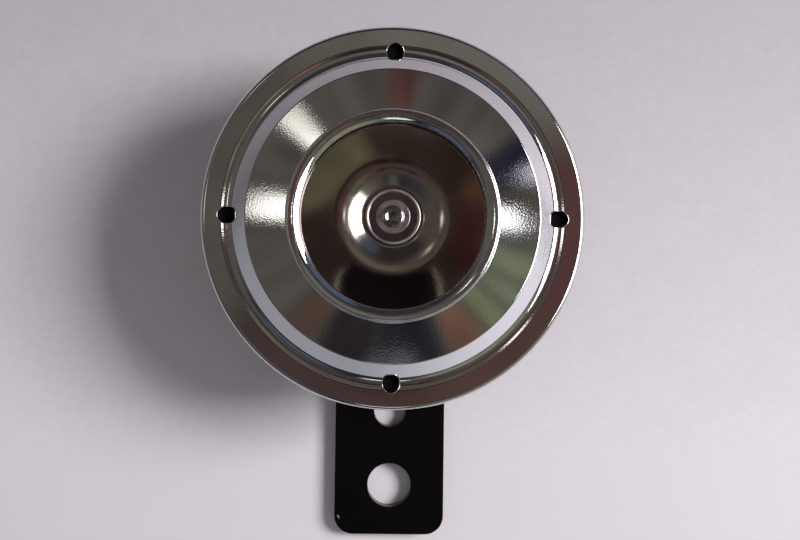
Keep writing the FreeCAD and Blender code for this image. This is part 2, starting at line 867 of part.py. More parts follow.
def make_core():
    """Stud and pole in one turned piece, with a base that pulls the bracket to the pan."""
    section = [
        (ON_AXIS, size.stud_tip),
        (size.stud_radius - size.stud_chamfer, size.stud_tip),
        (size.stud_radius, size.stud_tip + size.stud_chamfer),
        (size.stud_radius, housing_floor),
        (core_base_radius, housing_floor),
        (core_base_radius, core_shoulder),
        (size.core_radius, core_shoulder),
        (size.core_radius, pole_top),
        (ON_AXIS, pole_top),
    ]
    keep(turned("core_stud", section), "core_stud")


def make_coil():
    hub_bore = size.core_radius + size.stem_play
    hub = hub_bore + size.bobbin_wall
    lower = core_shoulder + size.bobbin_wall
    upper = bobbin_top - size.bobbin_wall
    bobbin = [
        (hub_bore, core_shoulder),
        (size.bobbin_radius, core_shoulder),
        (size.bobbin_radius, lower),
        (hub, lower),
        (hub, upper),
        (size.bobbin_radius, upper),
        (size.bobbin_radius, bobbin_top),
        (hub_bore, bobbin_top),
    ]
    keep(turned("bobbin", bobbin), "bobbin")
    winding = ring_section(hub + size.bush_play, size.bobbin_radius - size.winding_inset, lower, upper)
    keep(turned("coil_winding", winding), "coil_winding")
    retainer_top = bobbin_top + size.retainer_wall
    retainer_bore = size.core_radius + size.bush_play
    retainer = ring_section(retainer_bore, size.retainer_radius, bobbin_top, retainer_top)
    keep(turned("coil_retainer", retainer), "coil_retainer")


# Contact stack

def make_contact_stack():
    """A leaf and a rigid support with a contact each, between insulators, held by two rivets."""
    near = stack_reach - size.stack_half_length
    far = stack_reach + size.stack_half_length
    side = size.stack_half_width
    bore = size.stack_rivet_radius + size.rivet_play
    offsets = (size.stack_rivet_offset, -size.stack_rivet_offset)
    holes = [(stack_reach, offset, bore) for offset in offsets]
    pad_outline = box_outline(near, far, -side, side, size.stack_corner)
    layers = [
        ("lower_insulator", shelf_floor, size.lower_insulator_wall),
        ("middle_insulator", arm_front, size.middle_insulator_wall),
        ("upper_insulator", support_front, size.upper_insulator_wall),
    ]
    for name, height, wall in layers:
        keep(plate(name, pad_outline, height, wall, holes), name)
    make_contact_support(far, holes)
    leaf = box_outline(arm_reach, far, -arm_half_width, arm_half_width, size.stack_corner)
    keep(plate("contact_arm", leaf, arm_back, size.arm_wall, holes), "contact_arm")
    make_contacts()
    rivets = []
    for hand, offset in zip(("left", "right"), offsets):
        section = rivet_section(size.stack_rivet_radius, stack_head_radius, shelf_back, stack_front)
        rivets.append(lathe(f"stack_rivet_{hand}", section, stack_reach, offset))
    keep(group("contact_rivets", rivets), "contact_rivets")


def make_contact_support(far, holes):
    """The rigid plate, with the ear that the adjusting screw pushes."""
    side = size.stack_half_width
    ear_near = adjuster_x - size.ear_half_width
    ear_far = adjuster_x + size.ear_half_width
    ear_end = -(size.adjuster_y + size.ear_overhang)
    outline = [
        (support_reach, side),
        (support_reach, -side),
        (ear_near, -side),
        (ear_near, ear_end, size.stack_corner),
        (ear_far, ear_end, size.stack_corner),
        (ear_far, -side),
        (far, -side),
        (far, side),
    ]
    keep(plate("contact_support", outline, support_back, size.support_wall, holes), "contact_support")


def make_contacts():
    for name, bottom, top in (("moving_contact", arm_front, contact_meeting),
                              ("fixed_contact", contact_meeting, support_back)):
        contact = cylinder(name, contact_reach, None, bottom, size.contact_radius, top - bottom)
        keep(contact, name)


def rivet_section(shank, head, bottom, top):
    """A rivet's half section: its shank from bottom to top, with a head beyond each end."""
    return [
        (ON_AXIS, bottom - size.rivet_head_height),
        (head, bottom - size.rivet_head_height),
        (head, bottom),
        (shank, bottom),
        (shank, top),
        (head, top),
        (head, top + size.rivet_head_height),
        (ON_AXIS, top + size.rivet_head_height),
    ]


# Adjusting screw, bush and locknut

def make_adjuster():
    """A slotted screw in a flanged bush, locked by a thin nut."""
    x = adjuster_x
    y = -size.adjuster_y
    bush_back = shelf_back - size.bush_flange_height
    bush_front = shelf_floor + size.bush_inner_height
    bush = [
        (adjuster_bore, bush_back),
        (bush_flange_radius, bush_back),
        (bush_flange_radius, shelf_back),
        (bush_radius, shelf_back),
        (bush_radius, bush_front),
        (adjuster_bore, bush_front),
    ]
    keep_at(lathe("adjuster_bush", bush, x, y), y)
    screw_front = support_back - size.adjuster_seat
    screw_back = screw_front - size.adjuster_length
    shank = cylinder("adjuster_shank", x, y, screw_back, size.adjuster_radius, size.adjuster_length)
    slot = doc.addObject("Part::Box", "adjuster_slot")
    slot_half_length = size.adjuster_radius + OVERSHOOT
    slot.setExpression("Length", size.adjuster_slot_width.text)
    slot.setExpression("Width", (slot_half_length * 2).text)
    slot.setExpression("Height", (size.adjuster_slot_depth + OVERSHOOT).text)
    slot.setExpression("Placement.Base.x", (x - size.adjuster_slot_width / 2).text)
    slot.setExpression("Placement.Base.y", (y - slot_half_length).text)
    slot.setExpression("Placement.Base.z", (screw_back - OVERSHOOT).text)
    keep(cut("adjusting_screw", shank, [slot]), "adjusting_screw")
    nut_back = bush_back - size.locknut_height
    locknut = hex_nut("adjuster_locknut", size.locknut_flats, adjuster_bore, nut_back, size.locknut_height,
                      size.locknut_chamfer, x, y)
    keep(locknut, "adjuster_locknut")


def keep_at(piece, y):
    """Keep a piece that has a place of its own beside the horn's axis."""
    piece.Label = piece.Name
    piece.setExpression("Placement.Base.y", (size.hole_to_axis + y).text)
    nodes.append(piece)


# Terminals

def make_terminals():
    """Two blade terminals riveted through insulating plates at the shelf."""
    shank_bore = size.terminal_rivet_radius + size.rivet_play
    collar_outer = shank_bore + size.collar_wall
    spots = [(-size.terminal_x, terminal_y), (size.terminal_x, terminal_y)]
    board_back = shelf_back - size.board_wall
    board = box_outline(-board_half_length, board_half_length,
                        terminal_y - size.board_half_width, terminal_y + size.board_half_width,
                        size.board_corner)
    holes = [spot + (shank_bore,) for spot in spots]
    keep(plate("terminal_board", board, board_back, size.board_wall, holes), "terminal_board")
    inner_front = shelf_floor + size.inner_board_wall
    inner = box_outline(-inner_board_half_length, inner_board_half_length,
                        terminal_y - size.inner_board_half_width,
                        terminal_y + size.inner_board_half_width, size.inner_board_corner)
    inner_plate = plate("inner_plate", inner, shelf_floor, size.inner_board_wall, holes)
    collar = ring_section(shank_bore, collar_outer, shelf_back, shelf_floor)
    collars = [lathe(f"inner_collar_{index}", collar, x, y) for index, (x, y) in enumerate(spots)]
    keep(fuse("terminal_inner_plate", [inner_plate] + collars), "terminal_inner_plate")
    foot_back = board_back - size.terminal_wall
    rivets = []
    for hand, (x, y) in zip(("left", "right"), spots):
        make_terminal(f"terminal_{hand}", x, board_back, shank_bore)
        section = rivet_section(size.terminal_rivet_radius, terminal_head_radius, foot_back, inner_front)
        rivets.append(lathe(f"terminal_rivet_{hand}", section, x, y))
    keep(group("terminal_rivets", rivets), "terminal_rivets")


def make_terminal(name, x, foot_front, bore):
    """A joggled blade with a pointed end, a rivet hole in its foot and a small hole near its point."""
    start = terminal_y - size.terminal_foot
    step = terminal_y + size.terminal_foot
    blade = step + size.terminal_joggle_run
    end = blade + size.terminal_blade
    low = foot_front - size.terminal_joggle
    line = [(end, low), (blade, low, size.terminal_bend), (step, foot_front, size.terminal_bend),
            (start, foot_front)]
    strip = folded_strip(f"{name}_strip", line, size.terminal_wall, size.terminal_width)
    half = size.terminal_width / 2
    plan = flat_sketch(f"{name}_plan")
    point = size.terminal_point
    draw_outline(plan, [(-half, start), (half, start), (half, end - point), (half - point, end),
                        (point - half, end), (-half, end - point)])
    depth = size.terminal_joggle + size.terminal_wall + OVERSHOOT * 2
    drill_back = low - size.terminal_wall - OVERSHOOT
    outline = doc.addObject("Part::Extrusion", f"{name}_outline")
    outline.Base = plan
    outline.DirMode = "Custom"
    outline.Dir = Z_AXIS
    outline.Solid = True
    outline.setExpression("LengthFwd", depth.text)
    outline.setExpression("Placement.Base.z", drill_back.text)
    blank = common(f"{name}_blank", [strip, outline])
    drills = [
        cylinder(f"{name}_rivet_hole", None, terminal_y, drill_back, bore, depth),
        cylinder(f"{name}_tip_hole", None, end - size.terminal_hole_inset, drill_back,
                 size.terminal_hole_radius, depth),
    ]
    terminal = cut(name, blank, drills)
    terminal.setExpression("Placement.Base.x", x.text)
    keep(terminal, name)


# Connecting wires

def wire_path(points, bend):
    """Straight runs through the points with a tangent arc at each turn."""
    edges = []
    start = points[0]
    for before, point, after in zip(points, points[1:], points[2:]):
        back = (before - point).normalize()
        ahead = (after - point).normalize()
        half_angle = back.getAngle(ahead) / 2
        run = bend / math.tan(half_angle)
        middle = (back + ahead).normalize() * (bend / math.sin(half_angle) - bend)
        first = point + back * run
        last = point + ahead * run
        edges.append(Part.makeLine(start, first))
        edges.append(Part.Arc(first, point + middle, last).toShape())
        start = last
    edges.append(Part.makeLine(start, points[-1]))
    return Part.Wire(edges)


def make_lead(name, points):
    """A wire swept along its path."""
    path = wire_path(points, size.lead_bend.value)
    tangent = (points[1] - points[0]).normalize()
    section = Part.Wire(Part.makeCircle(size.lead_radius.value, points[0], tangent))
    lead = doc.addObject("Part::Feature", name)
    lead.Shape = path.makePipe(Part.Face(section))
    keep(lead, name)


def around(radius, angle, height):
    turn = math.radians(angle)
    return FreeCAD.Vector(radius * math.cos(turn), radius * math.sin(turn), height)


def make_leads():
    """The coil's two ends and the link from the leaf to a terminal."""
    wire = size.lead_radius.value
    wire_width = 2 * wire
    coil_side = size.bobbin_radius.value - size.winding_inset.value + size.bush_play.value
    way_up = (size.bobbin_radius.value + cup_radius.value - size.housing_wall.value) / 2
    start_height = bobbin_top.value - size.lead_start_depth.value
    crossing = shelf_floor.value + size.lead_rise.value
    head_top = shelf_floor.value + size.inner_board_wall.value + size.rivet_head_height.value + wire
    left = FreeCAD.Vector(-size.terminal_x.value, terminal_y.value, head_top)
    make_lead("lead_coil_terminal", [
        around(coil_side, LEFT_LEAD_ANGLE, start_height),
        around(way_up, LEFT_LEAD_ANGLE, start_height),
        around(way_up, LEFT_LEAD_ANGLE, head_top),
        left,
    ])
    support_top = support_front.value + wire
    support_spot = FreeCAD.Vector(support_reach.value + size.contact_radius.value,
                                  size.stack_half_width.value - wire_width, support_top)
    make_lead("lead_coil_contact", [
        around(coil_side, CONTACT_LEAD_ANGLE, start_height),
        around(way_up, CONTACT_LEAD_ANGLE, start_height),
        around(way_up, CONTACT_LEAD_ANGLE, support_top),
        support_spot,
    ])
    arm_top = arm_front.value + wire
    right = FreeCAD.Vector(size.terminal_x.value, terminal_y.value, head_top)
    bench = [around(stack_reach.value, angle, crossing) for angle in ARM_LEAD_ANGLES]
    arm_spot = FreeCAD.Vector(stack_reach.value - size.stack_half_length.value - wire_width,
                              arm_half_width.value - wire_width, arm_top)
    beside = arm_spot + Y_AXIS * (arm_half_width.value - wire)
    make_lead("lead_contact_terminal", [arm_spot, beside] + bench + [right])


# Bracket, washer and nut

def make_bracket():
    """A strip with a joggle, rounded ends and three holes."""
    half = size.bracket_width / 2
    large_y = -size.hole_to_axis
    small_y = large_y + size.hole_spacing
    end_y = large_y - size.bracket_end
    line = [
        (half, housing_back),
        (-size.joggle_end, housing_back, size.bracket_bend),
        (-size.joggle_start, size.bracket_wall, size.bracket_bend),
        (end_y, size.bracket_wall),
    ]
    strip = folded_strip("bracket_strip", line, size.bracket_wall, size.bracket_width)
    plan = [(-half, ON_AXIS), (-half, end_y, size.bracket_corner),
            (half, end_y, size.bracket_corner), (half, ON_AXIS)]
    height = housing_back + OVERSHOOT
    outline = punch("bracket_outline", plan, floor, height)
    round_end = cylinder("bracket_round_end", None, None, floor, half, height)
    blank = common("bracket_blank", [strip, fuse("bracket_shape", [outline, round_end])])
    drills = [
        cylinder("large_hole", None, large_y, floor - OVERSHOOT, size.large_hole_radius, height),
        cylinder("small_hole", None, small_y, floor - OVERSHOOT, size.small_hole_radius, height),
        cylinder("stud_hole", None, None, nut_top, stud_hole_radius, height),
    ]
    keep(cut("mounting_bracket", blank, drills), "mounting_bracket")


def make_fasteners():
    bore = size.stud_radius + size.stem_play
    section = ring_section(bore, size.lock_washer_radius, nut_top, bracket_step)
    ring = lathe("spring_washer_ring", section)
    gap = doc.addObject("Part::Box", "spring_washer_gap")
    slant = FreeCAD.Rotation(X_AXIS, SIZES["lock_washer_slant"])
    gap.Placement = FreeCAD.Placement(FreeCAD.Vector(), slant)
    gap.setExpression("Length", size.lock_washer_radius.text)
    gap.setExpression("Width", size.lock_washer_gap.text)
    gap.setExpression("Height", (size.lock_washer_height + OVERSHOOT * 2).text)
    gap.setExpression("Placement.Base.z", (nut_top - OVERSHOOT).text)
    keep(cut("spring_washer", ring, [gap]), "spring_washer")
    nut = hex_nut("bracket_nut", size.nut_flats, size.stud_radius + size.bush_play, floor, size.nut_height,
                  size.nut_chamfer)
    keep(nut, "bracket_nut")


def check_objects():
    """Stop if anything in the document failed or a piece has no sound solid."""
    for item in doc.Objects:
        if "Invalid" in item.State or "Error" in item.State:
            raise RuntimeError(f"{item.Label} is {item.State}")
    for piece in nodes:
        shape = piece.Shape
        if shape.isNull() or not shape.isValid() or not shape.Solids:
            raise RuntimeError(f"{piece.Label} has no sound solid")


def export_nodes():
    os.makedirs("parts", exist_ok=True)
    for piece in nodes:
        piece.Shape.exportStep(f"parts/{piece.Label}.step")


make_front_cover()
make_diaphragm()
make_armature()
make_spacer()
make_tone_disc()
make_housing()
make_core()
make_coil()
make_contact_stack()
make_adjuster()
make_terminals()
make_leads()
make_bracket()
make_fasteners()
doc.recompute()
check_objects()
export_nodes()
for piece in nodes:
    print(f"{piece.Label}: {piece.Shape.Volume:.1f} mm3 in {len(piece.Shape.Solids)}")
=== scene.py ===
import json
import math

import bmesh
import bpy
import numpy as np
from mathutils import Euler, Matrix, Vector


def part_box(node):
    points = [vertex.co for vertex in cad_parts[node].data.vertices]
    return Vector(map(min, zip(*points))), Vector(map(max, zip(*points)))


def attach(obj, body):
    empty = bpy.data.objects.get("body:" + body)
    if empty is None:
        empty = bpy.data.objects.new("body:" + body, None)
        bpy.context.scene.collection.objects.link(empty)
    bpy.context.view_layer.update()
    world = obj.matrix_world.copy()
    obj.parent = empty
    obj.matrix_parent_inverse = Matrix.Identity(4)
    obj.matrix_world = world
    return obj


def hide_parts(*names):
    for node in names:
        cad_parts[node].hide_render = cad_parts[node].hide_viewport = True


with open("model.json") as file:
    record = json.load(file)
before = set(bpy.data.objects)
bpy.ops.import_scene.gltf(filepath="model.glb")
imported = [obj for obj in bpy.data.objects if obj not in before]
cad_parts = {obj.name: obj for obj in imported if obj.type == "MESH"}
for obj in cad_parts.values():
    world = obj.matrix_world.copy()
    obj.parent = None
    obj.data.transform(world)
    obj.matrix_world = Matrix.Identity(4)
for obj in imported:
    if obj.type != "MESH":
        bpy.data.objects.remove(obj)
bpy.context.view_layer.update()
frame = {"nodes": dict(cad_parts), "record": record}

# A disc horn on a pale sheet, seen from straight above. Lengths are metres, and MM turns
# millimetres into them. Azimuths run clockwise in the picture from its right side, in degrees,
# and zenith angles run down from straight up.

MM = 0.001
TINY = 1e-9


# Places read from the frame, and the sizes that go with them

cover_low, cover_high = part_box("front_cover")
AXIS = Vector(((cover_low.x + cover_high.x) / 2, (cover_low.y + cover_high.y) / 2, 0))
RIM_RADIUS = (cover_high.x - cover_low.x) / 2
HEM_BACK = cover_low.z
LIP_FRONT = cover_high.z
GASKET_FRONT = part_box("front_gasket")[1].z

# Front cover: the sizes of its section
COVER_WALL = 0.8 * MM
GROOVE_FRONT = GASKET_FRONT + COVER_WALL + 0.12 * MM
RIM_FRONT = GASKET_FRONT + COVER_WALL + 0.29 * MM
CONE_BASE = GASKET_FRONT + COVER_WALL + 2.8 * MM
CONE_TOP = CONE_BASE + 0.95 * MM
HEM_RADIUS = RIM_RADIUS - 2.8 * MM
CREASE_RADIUS = RIM_RADIUS - 3.85 * MM
GROOVE_OUTER = CREASE_RADIUS - 0.4 * MM
GROOVE_INNER = GROOVE_OUTER - 1.4 * MM
STEP_EASE = 0.1 * MM
EDGE_RADIUS = GROOVE_INNER - 2.9 * MM
WALL_FOOT = EDGE_RADIUS + 3.1 * MM
LIP_OUTER = EDGE_RADIUS - 7.45 * MM
LIP_FOOT = 0.25 * MM
LIP_INNER = LIP_OUTER - LIP_FOOT - 2.1 * MM
LIP_BREAK = LIP_INNER + 0.82 * MM
LIP_BREAK_DROP = 0.2 * MM
LIP_INNER_DROP = 0.72 * MM
LIP_DEPTH = 2.0 * MM
SHEET_END_ROUNDING = 0.3 * MM

# The vents' outline, measured outwards from their circle
VENT_COUNT = 4
VENT_CIRCLE = CREASE_RADIUS - 0.9 * MM
VENT_HALF_WIDTH = 1.56 * MM
VENT_FOOT = -1.85 * MM
VENT_SHOULDER = 0.6 * MM
VENT_TIP = 2.2 * MM
VENT_FOOT_ROUNDING = 1.15 * MM
VENT_SIDE_ROUNDING = 1.1 * MM
VENT_TIP_ROUNDING = 1.3 * MM
VENT_REACH = 3.2 * MM
VENT_WALL_TILT = 0.02
BEAD_RADIUS = 0.11 * MM
BEAD_SINK = 0.45
BEAD_SIDES = 10

# How finely the turned meshes are divided
COVER_SIDES = 480
DISC_SIDES = 360
TURNED_SIDES = 240
ARC_STEP = math.radians(9)

# Tone disc with its washer, and the armature's stem
disc_low, disc_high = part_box("tone_disc")
washer_low, washer_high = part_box("tone_disc_washer")
armature_low, armature_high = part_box("armature")
DISC_RADIUS = (disc_high.x - disc_low.x) / 2
DISC_WALL = 0.8 * MM
DISC_EDGE_WIDTH = 1.8 * MM
DISC_EDGE_DROP = 1.0 * MM
DISC_FIELD = disc_high.z
DISC_HUB = washer_low.z
DIAPHRAGM_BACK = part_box("diaphragm")[0].z
STEM_RADIUS = 2.0 * MM
STEM_BORE = 2.1 * MM
WASHER_RADIUS = (washer_high.x - washer_low.x) / 2
WASHER_RIM_INNER = WASHER_RADIUS - 0.4 * MM
WASHER_RIM_SLOPE = 0.15 * MM
WASHER_FACE = washer_high.z - 0.25 * MM
FUNNEL_FOOT = WASHER_RADIUS + 0.6 * MM
FUNNEL_TOP = FUNNEL_FOOT + 3.4 * MM
SLUG_RADIUS = 8.0 * MM
COLLAR_RADIUS = (armature_high.x - armature_low.x) / 2
LAND_RADIUS = 5.0 * MM
ARMATURE_STEP = 1.0 * MM
ARMATURE_EDGE = 0.15 * MM
HEAD_RADIUS = 3.1 * MM
CROWN_RADIUS = 1.95 * MM
CROWN_FOOT = WASHER_FACE + 0.2 * MM
DIMPLE_RADIUS = 1.4 * MM
DIMPLE_DEPTH = 0.22 * MM
BOWL_RADIUS = DIMPLE_RADIUS * 0.6
BOWL_DEPTH = DIMPLE_DEPTH * 0.8

# The adjusting screw's thread and slot
THREAD_PITCH = 0.7 * MM
THREAD_DEPTH = 0.3 * MM
THREAD_ROWS = 8
THREAD_SIDES = 48
SLOT_WIDTH = 0.8 * MM
SLOT_DEPTH = 1.2 * MM

# Camera, placed where the picture was taken from
CAMERA_PLACE = (-0.6889 * MM, 39.3706 * MM, 190.2492 * MM)
CAMERA_TILT = (0.0277, -0.0131, 0.0130)
LENS_MM = 40.5
SENSOR_MM = 36.0
CLIP_START = 0.01
CLIP_END = 20.0


# Meshes of turned and pressed pieces

def sheet_section(line, wall):
    """The closed section of a sheet: its skin, and a second skin one wall to the left of its travel."""
    points = [Vector(corner[:2]) for corner in line]
    ways = [(after - before).normalized() for before, after in zip(points, points[1:])]
    sides = [Vector((-way.y, way.x)) for way in ways]
    inner = [(*(points[0] + sides[0] * wall), SHEET_END_ROUNDING)]
    for index in range(1, len(points) - 1):
        before, after = sides[index - 1], sides[index]
        shift = (before + after) * (wall / (1 + before.dot(after)))
        turns_left = ways[index - 1].cross(ways[index]) > 0
        rounding = line[index][2] + (-wall if turns_left else wall)
        inner.append((*(points[index] + shift), max(rounding, 0.0)))
    inner.append((*(points[-1] + sides[-1] * wall), SHEET_END_ROUNDING))
    outer = [(*line[0][:2], SHEET_END_ROUNDING), *line[1:-1], (*line[-1][:2], SHEET_END_ROUNDING)]
    return outer + inner[::-1]


def rounded_corner(point, before, after, rounding):
    """Points on the arc that rounds a corner, each with the normal to the right of the travel."""
    back = (before - point).normalized()
    ahead = (after - point).normalized()
    half_angle = back.angle(ahead) / 2
    centre = point + (back + ahead).normalized() * (rounding / math.sin(half_angle))
    first = point + back * (rounding / math.tan(half_angle)) - centre
    turn = math.pi - 2 * half_angle
    sense = 1 if (-back).cross(ahead) > 0 else -1
    steps = max(2, math.ceil(turn / ARC_STEP))
    arc = []
    for step in range(steps + 1):
        angle = sense * turn * step / steps
        spoke = Vector((first.x * math.cos(angle) - first.y * math.sin(angle),
                        first.x * math.sin(angle) + first.y * math.cos(angle)))
        arc.append((centre + spoke, spoke.normalized() * sense))
    return arc


def section_segments(corners):
    """The section as straight pieces: two ends and the normal at each, pointing out of the metal."""
    count = len(corners)
    points = [Vector(corner[:2]) for corner in corners]
    area = sum(points[index - 1].cross(points[index]) for index in range(count))
    outward = 1 if area > 0 else -1
    stations = []
    for index, corner in enumerate(corners):
        before, point, after = points[index - 1], points[index], points[(index + 1) % count]
        rounding = corner[2] if len(corner) > 2 else 0.0
        if rounding > 0:
            arc = rounded_corner(point, before, after, rounding)
            stations.extend((place, normal * outward, normal * outward) for place, normal in arc)
            continue
        arriving = (point - before).normalized()
        leaving = (after - point).normalized()
        normals = [Vector((way.y, -way.x)) * outward for way in (arriving, leaving)]
        stations.append((point, *normals))
    ends = stations[1:] + stations[:1]
    return [(start[0], end[0], start[2], end[1]) for start, end in zip(stations, ends)]


def turn_mesh(name, segments, sides):
    """Revolve the section about the horn's axis. Points on the axis become one vertex each."""
    angles = np.linspace(0, 2 * math.pi, sides, endpoint=False)
    cosines, sines = np.cos(angles), np.sin(angles)
    vertices, rings = [], []
    for start, *_ in segments:
        if start.x < TINY:
            rings.append([len(vertices)] * sides)
            vertices.append((AXIS.x, AXIS.y, start.y))
            continue
        rings.append(range(len(vertices), len(vertices) + sides))
        vertices.extend(zip(AXIS.x + start.x * cosines, AXIS.y + start.x * sines, [start.y] * sides))
    faces = []
    for lower, upper in zip(rings, rings[1:] + rings[:1]):
        if lower[0] == lower[1] and upper[0] == upper[1]:
            continue
        for side in range(sides):
            following = (side + 1) % sides
            loop = [lower[side], lower[following], upper[following], upper[side]]
            faces.append(list(dict.fromkeys(loop)))
    mesh = bpy.data.meshes.new(name)
    mesh.from_pydata(vertices, [], faces)
    mesh.validate()
    face_outwards(mesh)
    return mesh


def face_outwards(mesh):
    """Turn every face of a closed mesh to the outside."""
    work = bmesh.new()
    work.from_mesh(mesh)
    bmesh.ops.recalc_face_normals(work, faces=work.faces)
    work.to_mesh(mesh)
    work.free()


def shade_by_section(mesh, segments, keep_faces=None):
    """Give every face corner the normal that the exact section has there.
    Faces named in keep_faces keep the normal of their own corner there, as rows of x, y, z."""
    corner_vertex = np.zeros(len(mesh.loops), np.int32)
    mesh.loops.foreach_get("vertex_index", corner_vertex)
    places = np.zeros(len(mesh.vertices) * 3)
    mesh.vertices.foreach_get("co", places)
    places = places.reshape(-1, 3) - np.array(AXIS)
    face_of_corner = np.repeat(np.arange(len(mesh.polygons)), [len(p.vertices) for p in mesh.polygons])
    centres = np.zeros(len(mesh.polygons) * 3)
    mesh.polygons.foreach_get("center", centres)
    centres = centres.reshape(-1, 3) - np.array(AXIS)
    nearest = nearest_segment(np.hypot(centres[:, 0], centres[:, 1]), centres[:, 2], segments)
    starts = np.array([tuple(segment[0]) for segment in segments])
    ways = np.array([tuple(segment[1]) for segment in segments]) - starts
    first = np.array([tuple(segment[2]) for segment in segments])
    last = np.array([tuple(segment[3]) for segment in segments])
    row = nearest[face_of_corner]
    corner = places[corner_vertex]
    radius = np.hypot(corner[:, 0], corner[:, 1])
    along = np.stack([radius, corner[:, 2]], axis=1) - starts[row]
    share = np.clip((along * ways[row]).sum(1) / np.maximum((ways[row] ** 2).sum(1), TINY ** 2), 0, 1)
    flat = first[row] * (1 - share[:, None]) + last[row] * share[:, None]
    flat /= np.linalg.norm(flat, axis=1)[:, None]
    on_axis = (radius < TINY)[:, None]
    across = np.where(on_axis, centres[face_of_corner][:, :2], corner[:, :2])
    across = across / np.maximum(np.hypot(across[:, 0], across[:, 1]), TINY)[:, None]
    normals = np.column_stack([across * flat[:, :1], flat[:, 1]])
    if keep_faces:
        for face, rows in keep_faces.items():
            polygon = mesh.polygons[face]
            normals[polygon.loop_start:polygon.loop_start + polygon.loop_total] = rows
    mesh.polygons.foreach_set("use_smooth", np.ones(len(mesh.polygons), bool))
    mesh.normals_split_custom_set(normals.astype(np.float32))


def nearest_segment(radii, heights, segments):
    """The number of the section's straight piece that lies nearest to each place."""
    best = np.full(len(radii), np.inf)
    found = np.zeros(len(radii), int)
    for number, (start, end, *_) in enumerate(segments):
        way = np.array(end - start)
        length = max(way @ way, TINY ** 2)
        share = np.clip(((radii - start.x) * way[0] + (heights - start.y) * way[1]) / length, 0, 1)
        gap = np.hypot(radii - start.x - way[0] * share, heights - start.y - way[1] * share)
        closer = gap < best
        best[closer] = gap[closer]
        found[closer] = number
    return found


def add_piece(name, mesh, body, node, material):
    """Put a mesh in the scene in the place of a node."""
    piece = bpy.data.objects.new(name, mesh)
    bpy.context.scene.collection.objects.link(piece)
    mesh.materials.append(material)
    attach(piece, body)
    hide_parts(node)
    return piece


def cut_by(piece, cutter_mesh):
    """The piece's mesh with the cutter taken out of it."""
    cutter = bpy.data.objects.new("cutter", cutter_mesh)
    bpy.context.scene.collection.objects.link(cutter)
    cut = piece.modifiers.new("cut", "BOOLEAN")
    cut.object = cutter
    cut.operation = "DIFFERENCE"
    cut.solver = "EXACT"
    bpy.context.view_layer.update()
    graph = bpy.context.evaluated_depsgraph_get()
    mesh = bpy.data.meshes.new_from_object(piece.evaluated_get(graph))
    piece.modifiers.clear()
    bpy.data.objects.remove(cutter)
    return mesh


# The front cover. Each corner of a section is a radius, a height and, if it is rounded, the rounding

def cover_section():
    """The cover's section, from the skirt's end over the rim and cone to the lip's end."""
    line = [
        (HEM_RADIUS, HEM_BACK),
        (RIM_RADIUS, HEM_BACK, 1.0 * MM),
        (RIM_RADIUS, RIM_FRONT, 0.9 * MM),
        (CREASE_RADIUS + STEP_EASE, RIM_FRONT, 1.1 * MM),
        (GROOVE_OUTER - STEP_EASE, GROOVE_FRONT, 0.7 * MM),
        (WALL_FOOT, GROOVE_FRONT, 2.0 * MM),
        (EDGE_RADIUS, CONE_BASE, 0.45 * MM),
        (LIP_OUTER, CONE_TOP, 0.3 * MM),
        (LIP_OUTER - LIP_FOOT, LIP_FRONT, 0.28 * MM),
        (LIP_BREAK, LIP_FRONT - LIP_BREAK_DROP, 3.5 * MM),
        (LIP_INNER, LIP_FRONT - LIP_INNER_DROP, 0.42 * MM),
        (LIP_INNER, LIP_FRONT - LIP_DEPTH),
    ]
    return section_segments(sheet_section(line, COVER_WALL))


def vent_outline():
    """The vents' shape as straight pieces: flat towards the axis, round towards the rim."""
    corners = [
        (VENT_FOOT, VENT_HALF_WIDTH, VENT_FOOT_ROUNDING),
        (VENT_FOOT, -VENT_HALF_WIDTH, VENT_FOOT_ROUNDING),
        (VENT_SHOULDER, -VENT_HALF_WIDTH, VENT_SIDE_ROUNDING),
        (VENT_TIP, 0.0, VENT_TIP_ROUNDING),
        (VENT_SHOULDER, VENT_HALF_WIDTH, VENT_SIDE_ROUNDING),
    ]
    return section_segments(corners)


def vent_ways(index):
    """The way outwards through a vent, and the way across it."""
    angle = 2 * math.pi * index / VENT_COUNT
    outwards = Vector((math.cos(angle), math.sin(angle), 0))
    return outwards, Vector((-outwards.y, outwards.x, 0))


def punch_vents(piece, outline):
    """Cut the vents, each an upright punch through the groove and the rim's foot."""
    cutter_mesh = bpy.data.meshes.new("vent_punches")
    work = bmesh.new()
    for index in range(VENT_COUNT):
        outwards, across = vent_ways(index)
        rings = []
        for height in (GASKET_FRONT - MM, CONE_BASE):
            ring = [work.verts.new(AXIS + outwards * (VENT_CIRCLE + start.x) + across * start.y
                                   + Vector((0, 0, height))) for start, *_ in outline]
            work.faces.new(ring)
            rings.append(ring)
        for side in range(len(outline)):
            after = (side + 1) % len(outline)
            work.faces.new((rings[0][side], rings[0][after], rings[1][after], rings[1][side]))
    bmesh.ops.recalc_face_normals(work, faces=work.faces)
    work.to_mesh(cutter_mesh)
    work.free()
    return cut_by(piece, cutter_mesh)


